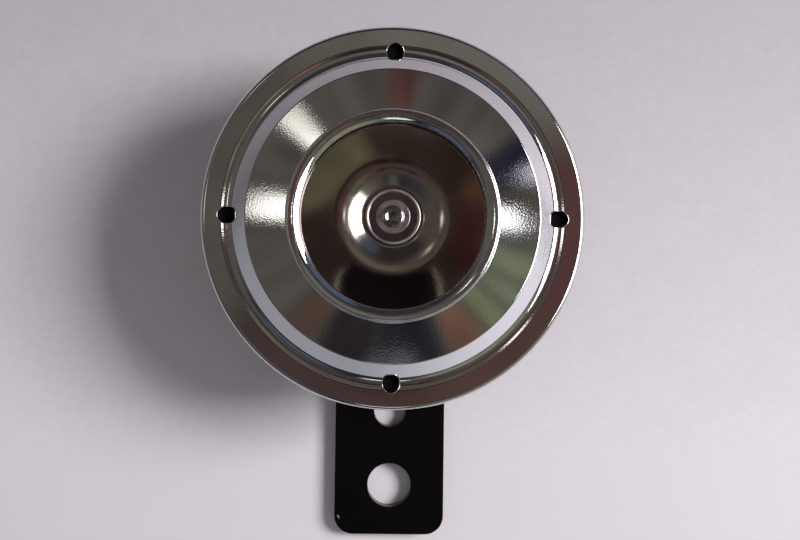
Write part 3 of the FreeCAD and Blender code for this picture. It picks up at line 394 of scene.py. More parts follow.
def vent_wall_normals(mesh, outline):
    """The normals of the punched walls, which follow the vent's outline."""
    kept = {}
    for polygon in mesh.polygons:
        place = polygon.center - AXIS
        radius = place.to_2d().length
        quarter = round(math.atan2(place.y, place.x) / (2 * math.pi / VENT_COUNT))
        outwards, across = (way.to_2d() for way in vent_ways(quarter))
        near = (place.to_2d() - outwards * VENT_CIRCLE).length < VENT_REACH
        if abs(polygon.normal.z) > VENT_WALL_TILT or not near or radius > RIM_RADIUS - MM:
            continue
        rows = []
        for vertex in polygon.vertices:
            flat = (mesh.vertices[vertex].co - AXIS).to_2d()
            local = np.array([[flat.dot(outwards) - VENT_CIRCLE, flat.dot(across)]])
            number = nearest_segment(local[:, 0], local[:, 1], outline)[0]
            start, end, first, last = outline[number]
            way = end - start
            reach = (Vector(local[0]) - start).dot(way) / max(way.length_squared, TINY ** 2)
            share = min(max(reach, 0), 1)
            normal = -(first * (1 - share) + last * share).normalized()
            spoke = outwards * normal.x + across * normal.y
            rows.append((spoke.x, spoke.y, 0))
        kept[polygon.index] = rows
    return kept


def make_front_cover(material):
    """The pressed cover, turned from its section and then punched."""
    segments = cover_section()
    mesh = turn_mesh("front_cover_finish", segments, COVER_SIDES)
    piece = add_piece("front_cover_finish", mesh, "horn", "front_cover", material)
    outline = vent_outline()
    punched = punch_vents(piece, outline)
    piece.data = punched
    shade_by_section(punched, segments, vent_wall_normals(punched, outline))


def skin_height(segments, radius):
    """The height of the section's front at a radius."""
    heights = []
    for start, end, *_ in segments:
        low, high = sorted((start, end), key=lambda point: point.x)
        if low.x <= radius <= high.x and high.x - low.x > TINY:
            share = (radius - low.x) / (high.x - low.x)
            heights.append(low.y + (high.y - low.y) * share)
    return max(heights)


def make_vent_beads(material):
    """The plating that has built up on the punched edges, as a thin round bead along each vent."""
    segments = cover_section()
    outline = vent_outline()
    vertices, faces = [], []
    for index in range(VENT_COUNT):
        outwards, across = vent_ways(index)
        first = len(vertices)
        for start, _, normal, _ in outline:
            flat = outwards * (VENT_CIRCLE + start.x) + across * start.y
            height = skin_height(segments, flat.length) - BEAD_RADIUS * BEAD_SINK
            aside = outwards * normal.x + across * normal.y
            for side in range(BEAD_SIDES):
                turn = 2 * math.pi * side / BEAD_SIDES
                around = aside * math.cos(turn) + Vector((0, 0, math.sin(turn)))
                vertices.append(AXIS + flat + Vector((0, 0, height)) + around * BEAD_RADIUS)
        count = len(outline)
        for step in range(count):
            here = first + step * BEAD_SIDES
            there = first + (step + 1) % count * BEAD_SIDES
            for side in range(BEAD_SIDES):
                after = (side + 1) % BEAD_SIDES
                faces.append((here + side, there + side, there + after, here + after))
    mesh = bpy.data.meshes.new("vent_beads")
    mesh.from_pydata(vertices, [], faces)
    mesh.validate()
    face_outwards(mesh)
    mesh.polygons.foreach_set("use_smooth", np.ones(len(mesh.polygons), bool))
    piece = bpy.data.objects.new("vent_beads", mesh)
    bpy.context.scene.collection.objects.link(piece)
    mesh.materials.append(material)
    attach(piece, "horn")


# The vibrating assembly and the adjusting screw

def make_turned(name, node, corners, material, sides=TURNED_SIDES):
    """A turned or pressed piece of the vibrating assembly."""
    segments = section_segments(corners)
    mesh = turn_mesh(name, segments, sides)
    shade_by_section(mesh, segments)
    add_piece(name, mesh, "vibrating_assembly", node, material)


def make_tone_disc(material):
    """The pressed disc: an upturned edge, a flat field and a funnel down to the washer."""
    line = [
        (DISC_RADIUS, DISC_FIELD - DISC_EDGE_DROP),
        (DISC_RADIUS - DISC_EDGE_WIDTH, DISC_FIELD, 1.2 * MM),
        (FUNNEL_TOP, DISC_FIELD, 9.5 * MM),
        (FUNNEL_FOOT, DISC_HUB, 1.6 * MM),
        (STEM_BORE, DISC_HUB),
    ]
    make_turned("tone_disc_finish", "tone_disc", sheet_section(line, DISC_WALL),
                material, DISC_SIDES)


def make_washer(material):
    """The washer, dished inside a narrow bright rim."""
    corners = [
        (STEM_BORE, washer_low.z),
        (WASHER_RADIUS, washer_low.z, 0.08 * MM),
        (WASHER_RADIUS, washer_high.z, 0.16 * MM),
        (WASHER_RIM_INNER, washer_high.z, 0.14 * MM),
        (WASHER_RIM_INNER - WASHER_RIM_SLOPE, WASHER_FACE, 0.1 * MM),
        (STEM_BORE, WASHER_FACE),
    ]
    make_turned("tone_disc_washer_finish", "tone_disc_washer", corners, material)


def make_armature(material):
    """The iron slug, collar and stem, with the stem's spread and dimpled end."""
    back = armature_low.z
    front = armature_high.z
    corners = [
        (0.0, back),
        (SLUG_RADIUS, back, ARMATURE_EDGE),
        (SLUG_RADIUS, back + ARMATURE_STEP),
        (COLLAR_RADIUS, back + ARMATURE_STEP, ARMATURE_EDGE),
        (COLLAR_RADIUS, back + 2 * ARMATURE_STEP, ARMATURE_EDGE),
        (LAND_RADIUS, back + 2 * ARMATURE_STEP),
        (LAND_RADIUS, DIAPHRAGM_BACK, ARMATURE_EDGE),
        (STEM_RADIUS, DIAPHRAGM_BACK),
        (STEM_RADIUS, WASHER_FACE),
        (HEAD_RADIUS, WASHER_FACE),
        (HEAD_RADIUS, CROWN_FOOT, 0.12 * MM),
        (CROWN_RADIUS, CROWN_FOOT, 0.12 * MM),
        (CROWN_RADIUS, front, 0.4 * MM),
        (DIMPLE_RADIUS, front, 0.35 * MM),
        (BOWL_RADIUS, front - BOWL_DEPTH, 0.8 * MM),
        (0.0, front - DIMPLE_DEPTH),
    ]
    make_turned("armature_finish", "armature", corners, material)


def thread_mesh(low, high):
    """An upright threaded bar between two corners of its box, with its ends turned down."""
    middle = (low + high) / 2
    radius = (high.x - low.x) / 2
    rows = round((high.z - low.z) / THREAD_PITCH * THREAD_ROWS)
    work = bmesh.new()
    rings = []
    for row in range(rows + 1):
        along = (high.z - low.z) * row / rows
        to_end = min(along, high.z - low.z - along)
        ring = []
        for side in range(THREAD_SIDES):
            turn = 2 * math.pi * side / THREAD_SIDES
            phase = (along / THREAD_PITCH - side / THREAD_SIDES) % 1.0
            reach = radius - THREAD_DEPTH * abs(2 * phase - 1)
            reach = min(reach, radius - THREAD_DEPTH + to_end)
            place = Vector((math.cos(turn) * reach, math.sin(turn) * reach, low.z + along - middle.z))
            ring.append(work.verts.new(middle + place))
        rings.append(ring)
    for lower, upper in zip(rings, rings[1:]):
        for side in range(THREAD_SIDES):
            after = (side + 1) % THREAD_SIDES
            work.faces.new((lower[side], lower[after], upper[after], upper[side]))
    work.faces.new(rings[0])
    work.faces.new(rings[-1])
    bmesh.ops.recalc_face_normals(work, faces=work.faces)
    mesh = bpy.data.meshes.new("adjusting_screw_finish")
    work.to_mesh(mesh)
    work.free()
    return mesh


def slot_cutter(low, high):
    """A block the size of the screw's slot, past the screw's back end and both its sides."""
    middle = (low + high) / 2
    lowest = Vector((middle.x - SLOT_WIDTH / 2, low.y - MM, low.z - MM))
    highest = Vector((middle.x + SLOT_WIDTH / 2, high.y + MM, low.z + SLOT_DEPTH))
    work = bmesh.new()
    bmesh.ops.create_cube(work, size=1.0)
    for vertex in work.verts:
        vertex.co = Vector((highest[axis] if vertex.co[axis] > 0 else lowest[axis] for axis in range(3)))
    cutter_mesh = bpy.data.meshes.new("slot_cutter")
    work.to_mesh(cutter_mesh)
    work.free()
    return cutter_mesh


def make_adjusting_screw(material):
    """The slotted screw with its thread, within the solid screw's outline."""
    low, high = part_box("adjusting_screw")
    piece = add_piece("adjusting_screw_finish", thread_mesh(low, high), "adjuster", "adjusting_screw",
                      material)
    piece.data = cut_by(piece, slot_cutter(low, high))


# Materials

def mix_colours(tree, factor, first, second):
    """Mix two colours, each a socket or a constant."""
    mix = tree.nodes.new("ShaderNodeMix")
    mix.data_type = "RGBA"
    tree.links.new(factor, mix.inputs["Factor"])
    for socket, colour in ((mix.inputs["A"], first), (mix.inputs["B"], second)):
        if isinstance(colour, tuple):
            socket.default_value = (*colour, 1)
        else:
            tree.links.new(colour, socket)
    return mix.outputs["Result"]


def smooth_step(tree, value, start, full):
    """0 up to one value and 1 from the other, with a smooth rise between them."""
    step = tree.nodes.new("ShaderNodeMapRange")
    step.interpolation_type = "SMOOTHSTEP"
    step.inputs["From Min"].default_value = start
    step.inputs["From Max"].default_value = full
    tree.links.new(value, step.inputs["Value"])
    return step.outputs[0]


PAINT_SPECULAR = 0.25
# The bare spot near the bracket's end: middle, turn, half length and half width, and its colour
CHIP = ((-10.4 * MM, -6.6 * MM, 2.5 * MM), math.radians(-64), 0.52 * MM, 0.14 * MM)
CHIP_COLOUR = (0.46, 0.42, 0.38)


class Shading:
    """A material's node tree, with short ways to add what these surfaces share."""

    def __init__(self, name, metallic, specular=0.5):
        self.material = bpy.data.materials.new(name)
        self.material.use_nodes = True
        self.tree = self.material.node_tree
        self.tree.nodes.clear()
        self.output = self.tree.nodes.new("ShaderNodeOutputMaterial")
        self.surface = self.tree.nodes.new("ShaderNodeBsdfPrincipled")
        self.surface.inputs["Metallic"].default_value = metallic
        self.surface.inputs["Specular IOR Level"].default_value = specular
        self.tree.links.new(self.surface.outputs["BSDF"], self.output.inputs["Surface"])

    def add(self, kind, **settings):
        node = self.tree.nodes.new(kind)
        for setting, value in settings.items():
            setattr(node, setting, value)
        return node

    def link(self, source, target):
        self.tree.links.new(source, target)

    def place(self):
        """The point's place in the horn's frame."""
        return self.add("ShaderNodeTexCoord").outputs["Object"]

    def math(self, operation, first, second=None):
        node = self.add("ShaderNodeMath", operation=operation)
        for socket, value in zip(node.inputs, (first, second)):
            if value is None:
                continue
            if isinstance(value, (int, float)):
                socket.default_value = value
            else:
                self.link(value, socket)
        return node.outputs[0]

    def vector_math(self, operation, first, second=None):
        """The node of a vector calculation: the first value is a socket, the second a constant."""
        node = self.add("ShaderNodeVectorMath", operation=operation)
        self.link(first, node.inputs[0])
        if second is not None:
            node.inputs[1].default_value = second
        return node

    def from_axis(self):
        """The point's place as seen from the axis, and the same laid flat."""
        place = self.vector_math("SUBTRACT", self.place(), AXIS).outputs[0]
        return place, self.vector_math("MULTIPLY", place, (1, 1, 0)).outputs[0]

    def length(self, vector):
        return self.vector_math("LENGTH", vector).outputs["Value"]

    def round_place(self, along, across):
        """A place for noise on a turned surface: stretched along the radius and round the axis."""
        place, flat = self.from_axis()
        parts = self.add("ShaderNodeSeparateXYZ")
        self.link(place, parts.inputs[0])
        turned = self.add("ShaderNodeSeparateXYZ")
        self.link(self.vector_math("NORMALIZE", flat).outputs[0], turned.inputs[0])
        reach = self.math("ADD", self.length(flat), parts.outputs["Z"])
        joined = self.add("ShaderNodeCombineXYZ")
        self.link(self.math("MULTIPLY", reach, along), joined.inputs["X"])
        self.link(self.math("MULTIPLY", turned.outputs["X"], across), joined.inputs["Y"])
        self.link(self.math("MULTIPLY", turned.outputs["Y"], across), joined.inputs["Z"])
        return joined.outputs[0]

    def noise(self, place, scale, detail=2.0, roughness=0.5):
        node = self.add("ShaderNodeTexNoise")
        self.link(place, node.inputs["Vector"])
        node.inputs["Scale"].default_value = scale
        node.inputs["Detail"].default_value = detail
        node.inputs["Roughness"].default_value = roughness
        return node.outputs["Fac"]

    def ramp(self, value, stops):
        """A colour ramp: stops are (place, grey or colour)."""
        node = self.add("ShaderNodeValToRGB")
        self.link(value, node.inputs["Fac"])
        elements = node.color_ramp.elements
        while len(elements) < len(stops):
            elements.new(0.5)
        for element, (place, colour) in zip(elements, stops):
            element.position = place
            if isinstance(colour, (int, float)):
                colour = (colour, colour, colour)
            element.color = (*colour, 1)
        return node.outputs["Color"]

    def bump(self, height, distance, below=None):
        node = self.add("ShaderNodeBump")
        node.inputs["Strength"].default_value = 1.0
        node.inputs["Distance"].default_value = distance
        self.link(height, node.inputs["Height"])
        if below is not None:
            self.link(below, node.inputs["Normal"])
        return node.outputs["Normal"]

    def use_normal(self, normal):
        self.link(normal, self.surface.inputs["Normal"])

    def use_roughness(self, value):
        self.link(value, self.surface.inputs["Roughness"])

    def use_colour(self, colour):
        self.link(colour, self.surface.inputs["Base Color"])


def chrome():
    """Bright plating over pressed steel: clear, with a fine grain and faint haze."""
    made = Shading("cover_chrome", metallic=1.0)
    place = made.place()
    haze = made.noise(place, 90.0, detail=3.0)
    made.use_colour(made.ramp(haze, [(0.3, (0.64, 0.635, 0.64)), (0.7, (0.68, 0.675, 0.68))]))
    made.use_roughness(made.ramp(haze, [(0.3, 0.03), (0.75, 0.06)]))
    grain = made.bump(made.noise(place, 3600.0, detail=1.0), 4.8e-6)
    made.use_normal(made.bump(made.noise(place, 300.0, detail=1.0), 1.2e-6, grain))
    return made.material


def turned_steel(name, colour, stain, roughness, ring_pitch, ring_depth, grain_size, grain_depth,
                 change_from=None, change_over=0.08 * MM, outer_roughness=0.5):
    """Steel with fine turning rings, uneven tone and a little haze. Past a radius, its roughness
    can change to another."""
    made = Shading(name, metallic=1.0)
    place = made.place()
    cloud = made.noise(place, 150.0, detail=4.0, roughness=0.6)
    made.use_colour(made.ramp(cloud, [(0.3, stain), (0.7, colour)]))
    smear = made.noise(place, 420.0, detail=3.0)
    rough = made.ramp(smear, [(0.3, roughness * 0.8), (0.7, roughness * 1.25)])
    if change_from is not None:
        share = made.add("ShaderNodeMapRange", interpolation_type="SMOOTHSTEP")
        made.link(made.length(made.from_axis()[1]), share.inputs["Value"])
        share.inputs["From Min"].default_value = change_from
        share.inputs["From Max"].default_value = change_from + change_over
        share.inputs["To Min"].default_value = 1.0
        share.inputs["To Max"].default_value = outer_roughness / roughness
        rough = made.math("MULTIPLY", rough, share.outputs[0])
    made.use_roughness(rough)
    rings = made.round_place(1.0 / ring_pitch, 5.0)
    ringed = made.bump(made.noise(rings, 1.0, detail=2.0), ring_depth)
    made.use_normal(made.bump(made.noise(place, 1.0 / grain_size), grain_depth, ringed))
    return made.material


def paint(name, colour, roughness, peel_size, peel_depth, chip=None):
    """Black stoving paint: glossy, with peel and a few dull marks, and perhaps one chip to bare metal."""
    made = Shading(name, metallic=0.0, specular=PAINT_SPECULAR)
    place = made.place()
    cloud = made.noise(place, 60.0, detail=4.0)
    lighter = tuple(part * 1.6 for part in colour)
    shade = made.ramp(cloud, [(0.35, colour), (0.8, lighter)])
    if chip is not None:
        shade = mix_colours(made.tree, chip_mask(made, place, chip), shade, CHIP_COLOUR)
    made.use_colour(shade)
    marks = made.noise(place, 700.0, detail=5.0, roughness=0.7)
    made.use_roughness(made.ramp(marks, [(0.35, roughness), (0.75, roughness * 1.4)]))
    made.use_normal(made.bump(made.noise(place, 1.0 / peel_size, detail=2.0), peel_depth))
    return made.material


def chip_mask(made, place, chip):
    """1 inside a small ragged chip, given by its middle, its turn and its two half sizes."""
    middle, turn, half_length, half_width = chip
    spot = made.add("ShaderNodeMapping", vector_type="TEXTURE")
    spot.inputs["Location"].default_value = middle
    spot.inputs["Rotation"].default_value = (0, 0, turn)
    spot.inputs["Scale"].default_value = (half_length, half_width, 1.0)
    made.link(place, spot.inputs["Vector"])
    ragged = made.math("ADD", made.length(spot.outputs[0]), made.noise(place, 5000.0, detail=2.0))
    return smooth_step(made.tree, ragged, 1.5, 1.1)


def plain_metal(name, colour, tint, roughness, grain=900.0, depth=2.0e-6):
    """Plated or bare metal with a mottled tone and fine scratches."""
    made = Shading(name, metallic=1.0)
    place = made.place()
    cloud = made.noise(place, 260.0, detail=4.0, roughness=0.65)
    made.use_colour(made.ramp(cloud, [(0.3, tint), (0.7, colour)]))
    smear = made.noise(place, 800.0, detail=3.0)
    made.use_roughness(made.ramp(smear, [(0.3, roughness * 0.75), (0.75, roughness * 1.35)]))
    made.use_normal(made.bump(made.noise(place, grain, detail=3.0), depth))
    return made.material


def moulded(name, colour, roughness, grain=1500.0, depth=4.0e-6, specular=0.5):
    """Rubber, laminate or moulded plastic, with a fine tooth and cloudy tone."""
    made = Shading(name, metallic=0.0, specular=specular)
    place = made.place()
    darker = tuple(part * 0.72 for part in colour)
    cloud = made.noise(place, 200.0, detail=4.0)
    made.use_colour(made.ramp(cloud, [(0.3, darker), (0.7, colour)]))
    made.use_roughness(made.ramp(made.noise(place, 600.0), [(0.3, roughness * 0.85), (0.7, roughness)]))
    made.use_normal(made.bump(made.noise(place, grain, detail=2.0), depth))
    return made.material


def make_materials():
    """The record's material slots, each with its own material."""
    return {
        "cover_chrome": chrome(),
        "disc_steel": turned_steel("disc_steel", (0.50, 0.455, 0.41), (0.43, 0.385, 0.34), 0.135,
                                   0.4 * MM, 4.0e-7, 0.6 * MM, 1.0e-6,
                                   change_from=9.6 * MM, change_over=2.4 * MM, outer_roughness=0.035),
        "washer_steel": turned_steel("washer_steel", (0.60, 0.54, 0.54), (0.50, 0.44, 0.45), 0.11,
                                     0.15 * MM, 1.0e-6, 0.3 * MM, 2.0e-6,
                                     change_from=WASHER_RIM_INNER - 0.12 * MM, outer_roughness=0.36),
        "soft_iron": turned_steel("soft_iron", (0.46, 0.43, 0.42), (0.38, 0.35, 0.34), 0.12,
                                  0.12 * MM, 1.5e-6, 0.14 * MM, 7.0e-6,
                                  change_from=CROWN_RADIUS - 0.02 * MM, outer_roughness=0.3),
        "spring_steel": plain_metal("spring_steel", (0.55, 0.54, 0.52), (0.42, 0.38, 0.33), 0.28),
        "gasket_rubber": moulded("gasket_rubber", (0.003, 0.003, 0.003), 0.9, specular=0.08),
        "housing_paint": paint("housing_paint", (0.006, 0.006, 0.0065), 0.2, 0.9 * MM, 8.0e-6),
        "bracket_paint": paint("bracket_paint", (0.0022, 0.0022, 0.0025), 0.13, 0.8 * MM, 4.0e-6, CHIP),
        "bobbin_plastic": moulded("bobbin_plastic", (0.03, 0.03, 0.032), 0.5),
        "winding_copper": plain_metal("winding_copper", (0.75, 0.30, 0.14), (0.50, 0.17, 0.07), 0.22),
        "insulator_laminate": moulded("insulator_laminate", (0.23, 0.10, 0.045), 0.55, 900.0, 8.0e-6),
        "contact_silver": plain_metal("contact_silver", (0.82, 0.80, 0.77), (0.62, 0.58, 0.53), 0.22),
        "rivet_metal": plain_metal("rivet_metal", (0.66, 0.64, 0.61), (0.50, 0.47, 0.43), 0.3),
        "terminal_brass": plain_metal("terminal_brass", (0.78, 0.60, 0.30), (0.62, 0.44, 0.20), 0.24),
        "zinc_steel": plain_metal("zinc_steel", (0.70, 0.70, 0.66), (0.55, 0.55, 0.50), 0.3),
    }


# Nodes whose cut or stamped edges are slightly worn round
EDGE_STEPS = 3
EDGE_ANGLE = math.radians(40)
EDGE_WIDTHS = {
    "mounting_bracket": 0.2 * MM,
    "terminal_board": 0.12 * MM,
    "terminal_left": 0.1 * MM,
    "terminal_right": 0.1 * MM,
    "bracket_nut": 0.2 * MM,
    "adjuster_locknut": 0.12 * MM,
}


def finish_nodes(materials):
    """Give the frame's own nodes their materials, and some of them softer edges."""
    for row in frame["record"]["subparts"]:
        node = frame["nodes"][row["node"]]
        material = materials[row["material_slot"]]
        node.data.materials.clear()
        node.data.materials.append(material)
        if row["node"] in EDGE_WIDTHS:
            soften = node.modifiers.new("soft_edges", "BEVEL")
            soften.width = EDGE_WIDTHS[row["node"]]
            soften.segments = EDGE_STEPS
            soften.limit_method = "ANGLE"
            soften.angle_limit = EDGE_ANGLE
            soften.harden_normals = True


# The room that the metal mirrors

def direction(azimuth, zenith):
    """The unit vector at a clockwise azimuth in the picture and an angle from straight up."""
    turn, tilt = math.radians(azimuth), math.radians(zenith)
    return Vector((math.sin(tilt) * math.cos(turn), -math.sin(tilt) * math.sin(turn), math.cos(tilt)))


CEILING = (0.105, 0.093, 0.080)
LIT_WALLS = (0.12, 0.11, 0.10)
# Soft patches: name, azimuth, zenith, half width, half height, softness, colour
ROOM_PATCHES = [
    ("far_wall", 285, 58, 58, 27, 0.25, (0.040, 0.036, 0.042)),
    ("near_wall", 105, 57, 44, 26, 0.3, (0.028, 0.028, 0.042)),
    ("olive_corner", 50, 55, 22, 16, 0.4, (0.26, 0.28, 0.20)),
    ("blue_cabinet", 130, 52, 12, 12, 0.4, (0.09, 0.11, 0.17)),
    ("blue_shelf", 310, 52, 14, 10, 0.4, (0.10, 0.13, 0.20)),
    ("pale_ceiling", 292, 17, 8, 5, 0.7, (0.19, 0.178, 0.15)),
    ("dark_ceiling", 272, 5.0, 6.6, 6.0, 0.3, (0.040, 0.030, 0.026)),
    ("olive_ceiling", 241, 9.5, 3.2, 2.4, 0.25, (0.15, 0.135, 0.095)),
    ("orange_lamp", 313, 8.9, 1.0, 0.8, 0.9, (0.12, 0.058, 0.032)),
    ("red_curtain", 328, 7, 1.8, 1.8, 0.5, (0.065, 0.024, 0.022)),
    ("red_ceiling", 345, 12.5, 6, 4.5, 0.6, (0.110, 0.050, 0.050)),
    ("brown_ceiling", 55, 8, 6, 4.5, 0.6, (0.100, 0.058, 0.048)),
    ("brown_corner", 135, 7.5, 4.5, 3.5, 0.6, (0.075, 0.045, 0.045)),
    ("purple_ceiling", 270, 4.6, 1.8, 1.8, 0.5, (0.036, 0.026, 0.034)),
    ("red_beam", 273, 29, 2.1, 3, 0.6, (0.105, 0.048, 0.044)),
    ("navy_beam", 326, 26.8, 3.6, 4, 0.4, (0.026, 0.024, 0.045)),
    ("plants", 17, 21.5, 6.8, 3.6, 0.35, (0.120, 0.128, 0.100)),
    ("first_leaves", 8, 21.8, 1.5, 1.7, 0.8, (0.22, 0.25, 0.165)),
    ("second_leaves", 20, 20.8, 1.3, 1.5, 0.8, (0.20, 0.23, 0.15)),
    ("third_leaves", 33, 19.8, 1.3, 1.9, 0.8, (0.22, 0.24, 0.14)),
    ("orange_shelf", 50, 19, 2.5, 2.7, 0.5, (0.20, 0.11, 0.075)),
    ("dark_shelf", 80, 18, 5.5, 3.4, 0.3, (0.020, 0.020, 0.028)),
    ("far_shelf", 113, 18, 4.5, 3.2, 0.4, (0.026, 0.022, 0.026)),
    ("grey_shelf", 88, 19.4, 3.6, 0.8, 0.6, (0.15, 0.15, 0.16)),
    ("brown_shelf", 138, 19, 2.2, 2.7, 0.5, (0.11, 0.07, 0.055)),
    ("device_edge", 88, 1.2, 3.5, 3.4, 0.03, (0.30, 0.28, 0.24)),
    ("device", 88, 1.5, 3.2, 3.9, 0.04, (0.008, 0.007, 0.007)),
    ("ceiling_light", -13, 21.6, 1.5, 1.1, 0.8, (3.4, 3.4, 3.5)),
    ("side_light", -28, 26.3, 1.3, 0.7, 0.9, (0.8, 0.8, 0.85)),
    ("far_window", 92, 43, 6, 5, 0.25, (1.1, 1.2, 1.0)),
    ("first_lamp", 197, 21.4, 1.5, 1.9, 1.0, (2.2, 2.15, 2.0)),
    ("second_lamp", 232, 25.4, 1.4, 1.9, 1.0, (1.5, 1.45, 1.3)),
]
# Heights, as the direction's upward part, where the ceiling ends and the pale foot begins
WALL_START = 0.895
WALL_FULL = 0.83
FOOT_START = 0.14
FOOT_FULL = 0.085
FOOT_COLOUR = (0.27, 0.28, 0.30)
FOOT_PATCHES = [
    ("pale_foot", 90, 90, 85, 85, 0.4, (0.40, 0.40, 0.44)),
    ("bright_foot", -5, 90, 65, 60, 0.5, (1.10, 1.05, 1.15)),
]
# The room's mottle: how fine and how strong it is, and the heights between which it sets in
MOTTLE_SCALE = 16.0
MOTTLE_NOISE = (0.3, 0.7)
MOTTLE_STRENGTH = (0.72, 1.28)
STEADY_BELOW = 0.25
MOTTLED_ABOVE = 0.6
# The light on matt surfaces, from the side away from the window to the window's side
FAR_SIDE = (0.215, 0.209, 0.221)
NEAR_SIDE = (0.17, 0.166, 0.172)
SIDE_AZIMUTH = -18
SIDE_START = -0.7
SIDE_FULL = 0.9
BACKGROUND = (0.80, 0.78, 0.80, 1)


def add_patches(tree, coordinate, colour, patches):
    """Lay soft patches with rounded corners over a colour, each round its own direction."""
    for name, azimuth, zenith, half_width, half_height, softness, patch_colour in patches:
        mapping = tree.nodes.new("ShaderNodeMapping")
        mapping.label = name
        mapping.vector_type = "TEXTURE"
        mapping.inputs["Location"].default_value = direction(azimuth, zenith)
        turn = Euler((0, math.radians(zenith), -math.radians(azimuth)))
        mapping.inputs["Rotation"].default_value = turn
        mapping.inputs["Scale"].default_value = (math.sin(math.radians(half_height)),
                                                 math.sin(math.radians(half_width)), 1.0)
        tree.links.new(coordinate, mapping.inputs["Vector"])
        square = tree.nodes.new("ShaderNodeVectorMath")
        square.operation = "MULTIPLY"
        tree.links.new(mapping.outputs[0], square.inputs[0])
        tree.links.new(mapping.outputs[0], square.inputs[1])
        length = tree.nodes.new("ShaderNodeVectorMath")
        length.operation = "LENGTH"
        tree.links.new(square.outputs[0], length.inputs[0])
        inside = smooth_step(tree, length.outputs["Value"], (1 + softness) ** 2, (1 - softness) ** 2)
        colour = mix_colours(tree, inside, colour, patch_colour)
    return colour


def room_colour(tree, coordinate, height):
    """What metal mirrors: ceiling and walls with their patches, above a pale foot."""
    walls = mix_colours(tree, smooth_step(tree, height, WALL_START, WALL_FULL), CEILING, LIT_WALLS)
    above = add_patches(tree, coordinate, walls, ROOM_PATCHES)
    foot = add_patches(tree, coordinate, FOOT_COLOUR, FOOT_PATCHES)
    return mix_colours(tree, smooth_step(tree, height, FOOT_START, FOOT_FULL), above, foot)


def room_strength(tree, coordinate, height):
    """A mottle over the room, which fades out towards its foot."""
    mottle = tree.nodes.new("ShaderNodeTexNoise")
    mottle.inputs["Scale"].default_value = MOTTLE_SCALE
    mottle.inputs["Detail"].default_value = 3.0
    tree.links.new(coordinate, mottle.inputs["Vector"])
    uneven = tree.nodes.new("ShaderNodeMapRange")
    uneven.inputs["From Min"].default_value, uneven.inputs["From Max"].default_value = MOTTLE_NOISE
    uneven.inputs["To Min"].default_value, uneven.inputs["To Max"].default_value = MOTTLE_STRENGTH
    tree.links.new(mottle.outputs["Fac"], uneven.inputs["Value"])
    steady = tree.nodes.new("ShaderNodeMix")
    tree.links.new(smooth_step(tree, height, STEADY_BELOW, MOTTLED_ABOVE), steady.inputs["Factor"])
    steady.inputs["A"].default_value = 1.0
    tree.links.new(uneven.outputs[0], steady.inputs["B"])
    return steady.outputs["Result"]


def side_colour(tree, coordinate):
    """The plain light on matt surfaces, which changes from one side of the room to the other."""
    facing = tree.nodes.new("ShaderNodeVectorMath")
    facing.operation = "DOT_PRODUCT"
    tree.links.new(coordinate, facing.inputs[0])
    facing.inputs[1].default_value = direction(SIDE_AZIMUTH, 90)
    side = smooth_step(tree, facing.outputs["Value"], SIDE_START, SIDE_FULL)
    return mix_colours(tree, side, FAR_SIDE, NEAR_SIDE)


def pick(tree, choice, otherwise, chosen):
    """One shader where a kind of ray arrives, and another for the rest."""
    mix = tree.nodes.new("ShaderNodeMixShader")
    tree.links.new(choice, mix.inputs["Fac"])
    tree.links.new(otherwise, mix.inputs[1])
    tree.links.new(chosen, mix.inputs[2])
    return mix.outputs[0]


def make_room():
    """A world that shows a pale ground to the camera, a dim room to metal and plain light to the rest."""
    world = bpy.data.worlds.new("studio_room")
    bpy.context.scene.world = world
    world.use_nodes = True
    tree = world.node_tree
    tree.nodes.clear()
    coordinate = tree.nodes.new("ShaderNodeTexCoord").outputs["Generated"]
    parts = tree.nodes.new("ShaderNodeSeparateXYZ")
    tree.links.new(coordinate, parts.inputs[0])
    height = parts.outputs["Z"]
    plain, room, ground = (tree.nodes.new("ShaderNodeBackground") for _ in range(3))
    tree.links.new(side_colour(tree, coordinate), plain.inputs["Color"])
    tree.links.new(room_colour(tree, coordinate, height), room.inputs["Color"])
    tree.links.new(room_strength(tree, coordinate, height), room.inputs["Strength"])
    ground.inputs["Color"].default_value = BACKGROUND
    path = tree.nodes.new("ShaderNodeLightPath")
    indirect = pick(tree, path.outputs["Is Glossy Ray"], plain.outputs[0], room.outputs[0])
    shown = pick(tree, path.outputs["Is Camera Ray"], indirect, ground.outputs[0])
    output = tree.nodes.new("ShaderNodeOutputWorld")
    tree.links.new(shown, output.inputs["Surface"])
    world.cycles.sampling_method = "NONE"


# Lamps: azimuth, zenith, width and span as angles seen from the horn, and radiance
LAMP_DISTANCE = 1.0
SOFTBOX = (-11, 52, 20, 22, 22.0)
WINDOW = (-5, 47, 38, 31, 9.0)
LAMP_COLOUR = (1.0, 0.97, 1.0)


def make_lamp(name, azimuth, zenith, width, span, radiance):
    """A rectangular area lamp that faces the horn."""
    lamp = bpy.data.lights.new(name, "AREA")
    lamp.shape = "RECTANGLE"
    lamp.size = 2 * LAMP_DISTANCE * math.tan(math.radians(width / 2))
    lamp.size_y = 2 * LAMP_DISTANCE * math.tan(math.radians(span / 2))
    lamp.energy = radiance * math.pi * lamp.size * lamp.size_y
    lamp.color = LAMP_COLOUR
    holder = bpy.data.objects.new(name, lamp)
    bpy.context.scene.collection.objects.link(holder)
    way = direction(azimuth, zenith)
    holder.location = AXIS + way * LAMP_DISTANCE
    holder.rotation_mode = "QUATERNION"
    holder.rotation_quaternion = way.to_track_quat("Z", "Y")
    holder.visible_camera = False
    return holder


def make_lamps():
    """A softbox that lights matt surfaces, and a window that metal and gloss mirror."""
    make_lamp("softbox", *SOFTBOX).visible_glossy = False
    make_lamp("window", *WINDOW).visible_diffuse = False


